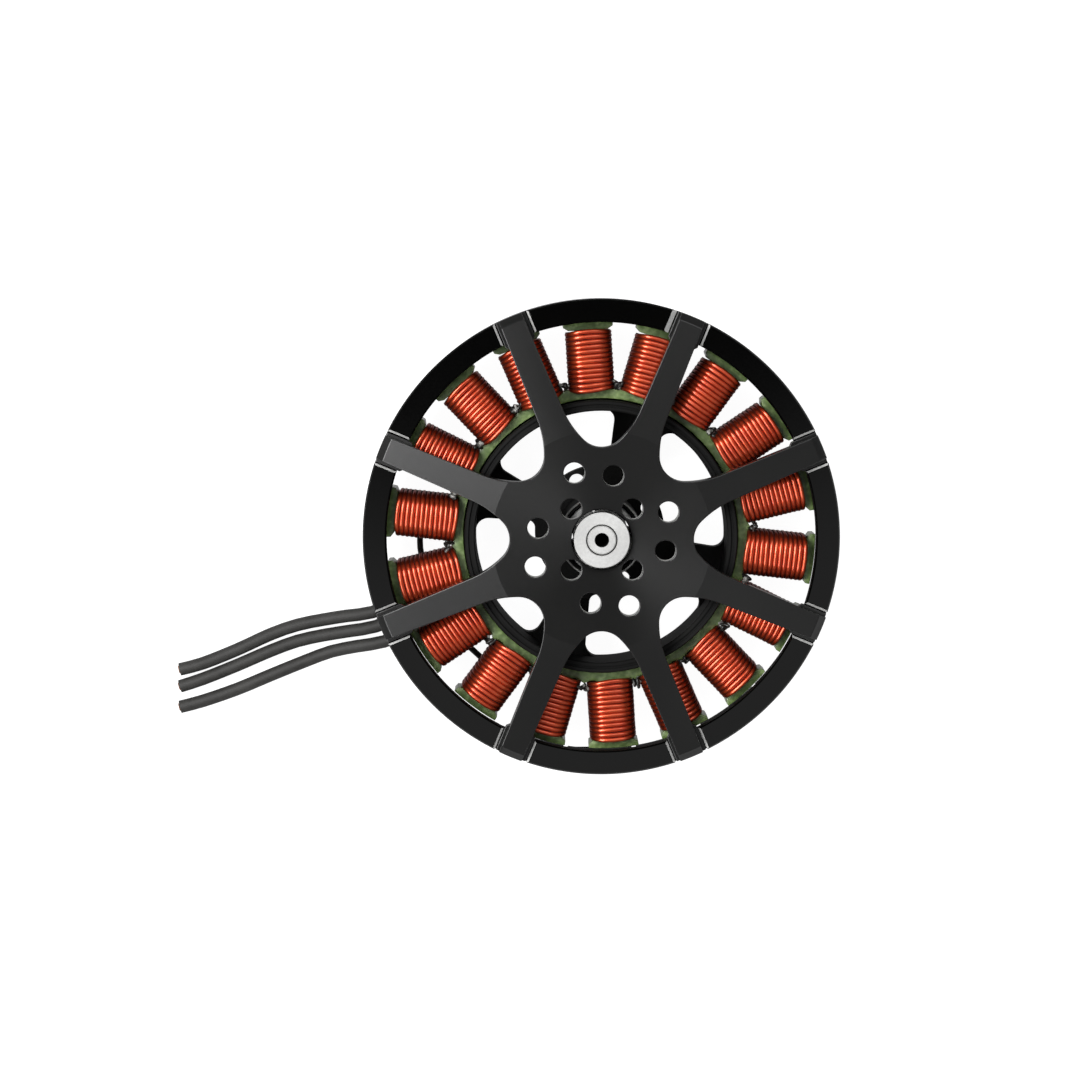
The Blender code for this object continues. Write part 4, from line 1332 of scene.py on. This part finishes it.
def makeShaft():
    edge, hole = metal["edge"], metal["centreHole"]
    radius, bottom, top = ringOf("shaft")[1:]
    clipTop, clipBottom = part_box("shaft_clip")[1].z + 0.25 * mm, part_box("shaft_clip")[0].z - 0.25 * mm
    neck = radius - metal["clipSlot"]
    section = [
        (0.0, top - metal["centreDepth"] - hole * 0.6), (hole, top - metal["centreDepth"]), (hole, top - edge / 2),
        (hole + edge / 2, top), (radius - edge, top), (radius, top - edge), (radius, clipTop), (neck, clipTop),
        (neck, clipBottom), (radius, clipBottom), (radius, bottom + edge), (radius - edge, bottom), (0.0, bottom),
    ]
    mesh = turnedMesh("shaft_fine", section, metal["steps"], closed=False)
    mesh.materials.append(turnedMaterial("turned_shaft"))
    mesh.materials.append(epoxyAndShadeMaterial("centre_hole_painted_shade"))
    # Walls of the centre hole go near-black: painted shade in the hole
    for face in mesh.polygons:
        inHole = math.hypot(face.center.x, face.center.y) < hole + edge / 4 and face.center.z < top - edge / 4
        face.material_index = int(inHole and face.center.z > bottom + edge)
    finished("motor_shaft", mesh, None, "rotor", "shaft_steel", "shaft")


def makeBearing(end, steel):
    edge = metal["edge"]
    innerBore, innerOut, bottom, top = ringOf(f"{end}_bearing_inner")
    outerIn, outerOut = ringOf(f"{end}_bearing_outer")[:2]
    thick = metal["raceThick"]
    middle = (bottom + top) / 2
    groove = metal["ballRadius"]
    innerLand, outerLand = innerBore + thick, outerOut - thick
    pitch = (innerBore + outerOut) / 2

    def racePath(land, depth, towards):
        # The ball groove as an arc in the race's face
        points = []
        for i in range(7):
            angle = -math.pi / 2 + math.pi * i / 6
            points.append((land + towards * depth * math.cos(angle), middle + groove * 0.8 * math.sin(angle)))
        return points

    depth = metal["ballGroove"]
    inner = [(innerBore + edge, bottom), *[(innerLand, bottom)], *racePath(innerLand, depth, -1), (innerLand, top)]
    inner += [(innerBore + edge, top), (innerBore, top - edge), (innerBore, bottom + edge)]
    outer = [(outerOut - edge, bottom), (outerLand, bottom), *racePath(outerLand, depth, 1), (outerLand, top)]
    outer += [(outerOut - edge, top), (outerOut, top - edge), (outerOut, bottom + edge)]
    races = ((f"{end}_inner_race", inner, "rotor", f"{end}_bearing_inner"), (f"{end}_outer_race", outer, "stator", f"{end}_bearing_outer"))
    for name, section, body, node in races:
        finished(name, turnedMesh(name, section, metal["steps"]), steel, body, "bearing_steel", node)
    half, tall = metal["cageWidth"] / 2, metal["cageHeight"] / 2
    cage = [(pitch - half, middle - tall), (pitch + half, middle - tall), (pitch + half, middle + tall), (pitch - half, middle + tall)]
    parts = [turnedMesh("cage", cage, metal["steps"])]
    balls = bmesh.new()
    for i in range(metal["balls"]):
        x, y = polar(pitch, turn * i / metal["balls"])
        made = bmesh.ops.create_uvsphere(balls, u_segments=20, v_segments=12, radius=metal["ballRadius"])
        bmesh.ops.translate(balls, verts=made["verts"], vec=(x, y, middle))
    mesh = bpy.data.meshes.new("balls")
    balls.to_mesh(mesh)
    balls.free()
    parts.append(mesh)
    joined = cleaned(joinedMesh(f"{end}_caged_balls", parts))
    finished(f"{end}_caged_balls", joined, steel, f"{end}_balls", "ball_steel", f"{end}_bearing_balls")


def makeSmallSteel():
    inner, outer, bottom, top = ringOf("shim_washer")
    edge = 0.08 * mm
    section = [
        (inner, bottom + edge), (inner + edge, bottom), (outer - edge, bottom), (outer, bottom + edge),
        (outer, top - edge), (outer - edge, top), (inner + edge, top), (inner, top - edge),
    ]
    mesh = turnedMesh("shim_fine", section, metal["steps"])
    finished("shim_ring", mesh, groundMaterial("rolled_shim"), "rotor", "shim_steel", "shim_washer")
    inner, outer, bottom, top = ringOf("shaft_clip")
    opening = math.radians(50)
    ring = arc((0.0, 0.0), outer, opening / 2, turn - opening / 2, 60)
    ring += arc((0.0, 0.0), inner, turn - opening / 2, opening / 2, 60)
    clip = plateMesh("clip_fine", [ring], bottom, top, 0.1 * mm)
    finished("retaining_clip", clip, blackenedMaterial(), "rotor", "clip_steel", "shaft_clip")


def turnedMaterial(name):
    material, surface = newMaterial(name)
    place = surface.place()
    radius = surface.radius(place)
    tool = surface.noise(radius, 6500.0, 3.0, 0.7, noise_dimensions="1D")
    grain = surface.noise(place, 2600.0, 3.0, 0.6)
    surface.shaded({
        "Base Color": surface.ramp(grain * 0.6 + tool * 0.4, [(0.3, (0.40, 0.40, 0.395)), (0.7, (0.54, 0.54, 0.53))]),
        "Metallic": 0.3,
        "Roughness": 0.40 + grain * 0.14,
        "Specular IOR Level": 0.5,
        "Anisotropic": 0.4,
        "Normal": surface.bump(tool + grain * 0.5, 0.00001, 0.5),
    })
    return material


def groundMaterial(name):
    material, surface = newMaterial(name)
    place = surface.place()
    grain = surface.noise(place * Vector((1.0, 1.0, 6.0)), 1500.0, 3.0, 0.6)
    surface.shaded({
        "Base Color": surface.ramp(grain, [(0.3, (0.55, 0.55, 0.54)), (0.7, (0.76, 0.76, 0.75))]),
        "Metallic": 0.6,
        "Roughness": 0.28 + grain * 0.15,
        "Anisotropic": 0.3,
        "Normal": surface.bump(grain, 0.000008, 0.4),
    })
    return material


def blackenedMaterial():
    material, surface = newMaterial("blackened_spring_steel")
    place = surface.place()
    grain = surface.noise(place, 1700.0, 3.0, 0.6)
    surface.shaded({
        "Base Color": surface.ramp(grain, [(0.3, (0.03, 0.03, 0.03)), (0.7, (0.07, 0.07, 0.07))]),
        "Metallic": 0.7,
        "Roughness": 0.35 + grain * 0.2,
    })
    return material


makeBoss()
makeShaft()
bearingSteel = groundMaterial("polished_race")
makeBearing("front", bearingSteel)
makeBearing("rear", bearingSteel)
makeSmallSteel()
print("shaft, boss and bearings made")


# Sleeved jumpers under the windings, and what is on the leads
jumper = {
    "radius": 0.65 * mm,
    "drop": 0.4 * mm,
    "pointSpacing": 1.5 * mm,
}
jumperRoutes = (
    ((171, 0.60), (179, 0.66), (188, 0.68), (202, 0.64), (216, 0.61), (230, 0.58)),
    ((196, 0.30), (207, 0.24), (218, 0.24), (229, 0.28), (239, 0.36)),
    ((131, 0.32), (138, 0.06), (146, -0.10), (154, -0.12), (161, -0.10), (169, 0.06), (176, 0.32)),
)


def makeJumpers():
    sleeve = sleeveMaterial()
    height = coilBottom - jumper["drop"] - jumper["radius"]
    for i, route in enumerate(jumperRoutes):
        points = []
        for degrees, share in route:
            x, y = polar(coilStart + (coilEnd - coilStart) * share, math.radians(degrees))
            points.append(Vector((x, y, height)))
        smooth = smoothRoute(points, jumper["pointSpacing"])
        obj = tubeCurve(f"sleeved_jumper_{i + 1}", smooth, jumper["radius"], 5, sleeve)
        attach(obj, "stator")
        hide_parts(f"winding_jumper_{i + 1}")
    for i, (points, lead) in enumerate(leadPieces):
        count = 1 + sum(1 for p in points if (p - points[0]).length < leads["sleeveLength"])
        obj = tubeCurve(f"lead_joint_sleeve_{i + 1}", points[:count], leads["sleeveRadius"], 6, sleeve)
        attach(obj, "stator")
        makeStrands(i, points)


def makeStrands(index, points):
    # The cut end of the conductor, as a bundle of fine wires
    direction = (points[-1] - points[-2]).normalized()
    side = direction.cross(Vector((0.0, 0.0, 1.0))).normalized()
    up = side.cross(direction)
    strand = leads["coreRadius"] / 5
    body = bmesh.new()
    for ring, count in ((0.0, 1), (2.1 * strand, 6), (4.1 * strand, 12)):
        for j in range(count):
            x, y = polar(ring, turn * j / count)
            centre = points[-1] + side * x + up * y
            tip = centre + direction * leads["coreProud"]
            root = centre - direction * 0.5 * mm
            rotation = direction.to_track_quat("Z", "Y").to_matrix().to_4x4()
            matrix = rotation.copy()
            matrix.translation = (tip + root) / 2
            bmesh.ops.create_cone(
                body,
                cap_ends=True,
                segments=10,
                radius1=strand,
                radius2=strand * 0.9,
                depth=(tip - root).length,
                matrix=matrix,
            )
    mesh = bpy.data.meshes.new("strands")
    body.to_mesh(mesh)
    body.free()
    mesh.shade_smooth()
    finished(f"lead_strands_{index + 1}", mesh, strandFinish, "stator", "lead_silicone")


def sleeveMaterial():
    material, surface = newMaterial("woven_sleeving")
    place = surface.place()
    weave = surface.noise(place, 2200.0, 2.0)
    surface.shaded({
        "Base Color": surface.ramp(weave, [(0.35, (0.008, 0.008, 0.008)), (0.65, (0.024, 0.024, 0.023))]),
        "Roughness": 0.55 + weave * 0.2,
        "Normal": surface.bump(weave, 0.00006, 0.6),
    })
    return material


makeJumpers()
print("jumpers and lead ends made")


# Lacing: knots of varnished thread between the feet of the windings
lacing = {
    "radius": 0.34 * mm,
    "points": 13,
    "reach": 0.85 * mm,             # to each side of a slot's middle
    "wander": 0.95 * mm,
    "place": 32.1 * mm,             # distance from the shaft
    "rise": 0.9 * mm,               # above the stack
    "pointSpacing": 0.3 * mm,
    "seed": 11,
}


def makeLacing():
    rng = random.Random(lacing["seed"])
    halfPitch = turn / core["teeth"] / 2
    knots = []
    for i in range(core["teeth"]):
        points = []
        for j in range(lacing["points"]):
            across = (2 * j / (lacing["points"] - 1) - 1) * lacing["reach"]
            along = lacing["place"] + rng.uniform(-1, 1) * lacing["wander"]
            across += rng.uniform(-0.6, 0.6) * lacing["wander"]
            spot = rotated([(along, across)], firstTooth + halfPitch * (2 * i + 1))[0]
            points.append(Vector((*spot, stackTop + lacing["rise"] + rng.uniform(-1, 1) * lacing["wander"])))
        knots.append(smoothRoute(points, lacing["pointSpacing"]))
    obj = tubeCurve("lacing_knots", knots[0], lacing["radius"], 3, threadMaterial(), knots[1:])
    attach(obj, "stator")


def threadMaterial():
    material, surface = newMaterial("varnished_thread")
    place = surface.place()
    twist = surface.noise(place, 1800.0, 3.0)
    glintFleck = surface.noise(place, 700.0, 2.0)
    # Pale flecks on the black thread are painted glints
    surface.shaded({
        "Base Color": surface.ramp(glintFleck, [(0.56, (0.010, 0.010, 0.009)), (0.66, (0.30, 0.30, 0.28))]),
        "Roughness": 0.25 + twist * 0.2,
        "Normal": surface.bump(twist, 0.00005, 0.5),
    })
    return material


makeLacing()
print("lacing made")


# Slot lining: pale insulation folded round each tooth under its coil
lining = {
    "thick": 0.16 * mm,
    "gap": 0.05 * mm,
    "proud": 0.45 * mm,
}


def makeLining():
    half = core["toothWidth"] / 2
    halfPitch = turn / core["teeth"] / 2
    yoke = coreBore + core["yokeWidth"]
    offset = lining["gap"] + lining["thick"]
    wall = half + lining["gap"]
    out = half + offset
    underside = coreRadius + core["shoeCoat"] - core["shoeTip"] - core["shoeFlare"]
    meshes = []
    foot = core["slotFillet"]
    for side in (1, -1):
        strip = [
            (math.sqrt(yoke**2 - wall**2) + foot, wall), (underside - 0.1 * mm, wall),
            (underside - 0.1 * mm, out), (math.sqrt(yoke**2 - out**2) + foot, out),
        ]
        strip = [(x, side * y) for x, y in strip]
        strip = strip if side > 0 else strip[::-1]
        for i in range(core["teeth"]):
            outline = rotated(strip, firstTooth + turn * i / core["teeth"])
            bottom, top = stackBottom - lining["proud"], stackTop + lining["proud"]
            meshes.append(plateMesh("liner", [outline[::-1]], bottom, top))
    finished("slot_lining", joinedMesh("slot_lining", meshes), liningMaterial(), "stator", "coated_laminations")


def liningMaterial():
    material, surface = newMaterial("slot_paper")
    place = surface.place()
    fibre = surface.noise(place, 1300.0, 4.0, 0.6)
    surface.shaded({
        "Base Color": surface.ramp(fibre, [(0.3, (0.30, 0.31, 0.29)), (0.7, (0.52, 0.53, 0.50))]),
        "Roughness": 0.45 + fibre * 0.2,
    })
    return material


makeLining()
print("slot lining made")


# Floor, lamps and world
studio = {
    "floorSize": 6.0,
    "floorGlow": 0.95,              # what the camera sees of the floor without any lamp
    "floorGloss": 0.35,             # share of it that a glossy surface shows
    "floorAlbedo": 0.28,
    "lampDistance": 0.9,
    "lamps": (                      # name, power, size, azimuth and tilt from straight above
        ("key", 6.8, 0.42, 153, 33),
        ("left", 3.0, 0.40, 204, 37),
        ("back", 1.3, 0.45, 75, 36),
    ),
    "fill": 0.55,                   # world light on dull surfaces
    "sky": 0.31,                    # what gloss sees overhead, at the horizon and in the camera's own dark hood
    "horizon": 0.10,
    "bandLevel": 0.8,               # a band of light low on the right and on the -Y side
    "bandMiddle": math.radians(-55),
    "bandReach": math.radians(66),
    "bandHeights": (-0.02, 0.05, 0.20, 0.30),
    "hoodLevel": 0.0,
    "hoodAngle": math.radians(8.8),
    "hoodSoftness": math.radians(1.6),
}


def makeLamp(name, power, size, azimuth, tilt):
    data = bpy.data.lights.new(name, "AREA")
    data.shape = "SQUARE"
    data.size = size
    data.energy = power
    obj = bpy.data.objects.new(name, data)
    bpy.context.scene.collection.objects.link(obj)
    x, y = polar(math.sin(tilt), azimuth)
    away = Vector((x, y, math.cos(tilt)))
    obj.location = away * studio["lampDistance"]
    obj.rotation_mode = "QUATERNION"
    obj.rotation_quaternion = away.to_track_quat("Z", "Y")


def makeFloor():
    body = bmesh.new()
    bmesh.ops.create_grid(body, x_segments=1, y_segments=1, size=studio["floorSize"] / 2)
    mesh = bpy.data.meshes.new("floor")
    body.to_mesh(mesh)
    body.free()
    material, surface = newMaterial("pale_floor")
    sight = surface.node("ShaderNodeLightPath", output="Is Camera Ray")
    gloss = surface.node("ShaderNodeLightPath", output="Is Glossy Ray")
    through = surface.node("ShaderNodeLightPath", output="Is Transmission Ray")
    seen = sight + through + gloss * studio["floorGloss"]
    glow = surface.node("ShaderNodeEmission", None, {"Color": (1.0, 1.0, 1.0), "Strength": seen * studio["floorGlow"]})
    dull = surface.node("ShaderNodeBsdfDiffuse", None, {"Color": (studio["floorAlbedo"],) * 3})
    both = surface.node("ShaderNodeAddShader", None, {0: glow, 1: dull})
    surface.node("ShaderNodeOutputMaterial", None, {"Surface": both})
    floor = addObject("floor", mesh, material)
    floor.location.z = cadLow.z - 0.05 * mm


def makeWorld():
    world = bpy.data.worlds.new("studio")
    world.use_nodes = True
    bpy.context.scene.world = world
    surface = Surface("studio", world.node_tree)
    sight = surface.node("ShaderNodeLightPath", output="Is Camera Ray")
    gloss = surface.node("ShaderNodeLightPath", output="Is Glossy Ray")
    through = surface.node("ShaderNodeLightPath", output="Is Transmission Ray")
    direction = surface.node("ShaderNodeTexCoord", output="Generated")
    height = surface.node("ShaderNodeSeparateXYZ", None, {"Vector": direction}, output="Z")
    overhead = Vector((0.0, math.sin(camera["tilt"]), math.cos(camera["tilt"])))
    sideways = Vector((*polar(1.0, studio["bandMiddle"]), 0.0))

    def alongWay(way):
        facing = {"operation": "DOT_PRODUCT"}
        return surface.node("ShaderNodeVectorMath", facing, {0: direction, 1: way}, output="Value")

    def eased(value, start, end, low=0.0, high=1.0):
        sockets = {"Value": value, "From Min": start, "From Max": end, "To Min": low, "To Max": high}
        return surface.node("ShaderNodeMapRange", {"interpolation_type": "SMOOTHSTEP"}, sockets)

    angle, softness = studio["hoodAngle"], studio["hoodSoftness"]
    hood = eased(alongWay(overhead), math.cos(angle + softness), math.cos(angle - softness), 1.0, studio["hoodLevel"])
    reach = math.cos(studio["bandReach"])
    lowStart, lowEnd, highStart, highEnd = studio["bandHeights"]
    band = eased(alongWay(sideways), reach, reach + 0.1) * eased(height, lowStart, lowEnd)
    band = band * eased(height, highEnd, highStart) * studio["bandLevel"]
    level = surface.node("ShaderNodeMapRange", None, {
        "Value": height,
        "From Min": 0.3,
        "From Max": 0.8,
        "To Min": studio["horizon"],
        "To Max": studio["sky"],
    })
    clear = sight + through
    strength = clear + gloss * (level * hood + band) + (1.0 - clear - gloss) * studio["fill"]
    back = surface.node("ShaderNodeBackground", None, {"Color": (1.0, 1.0, 1.0), "Strength": strength})
    surface.node("ShaderNodeOutputWorld", None, {"Surface": back})


makeFloor()
for name, power, size, azimuth, tilt in studio["lamps"]:
    makeLamp(name, power, size, math.radians(azimuth), math.radians(tilt))
makeWorld()
bpy.context.scene.view_settings.view_transform = "Standard"
print("studio lit")
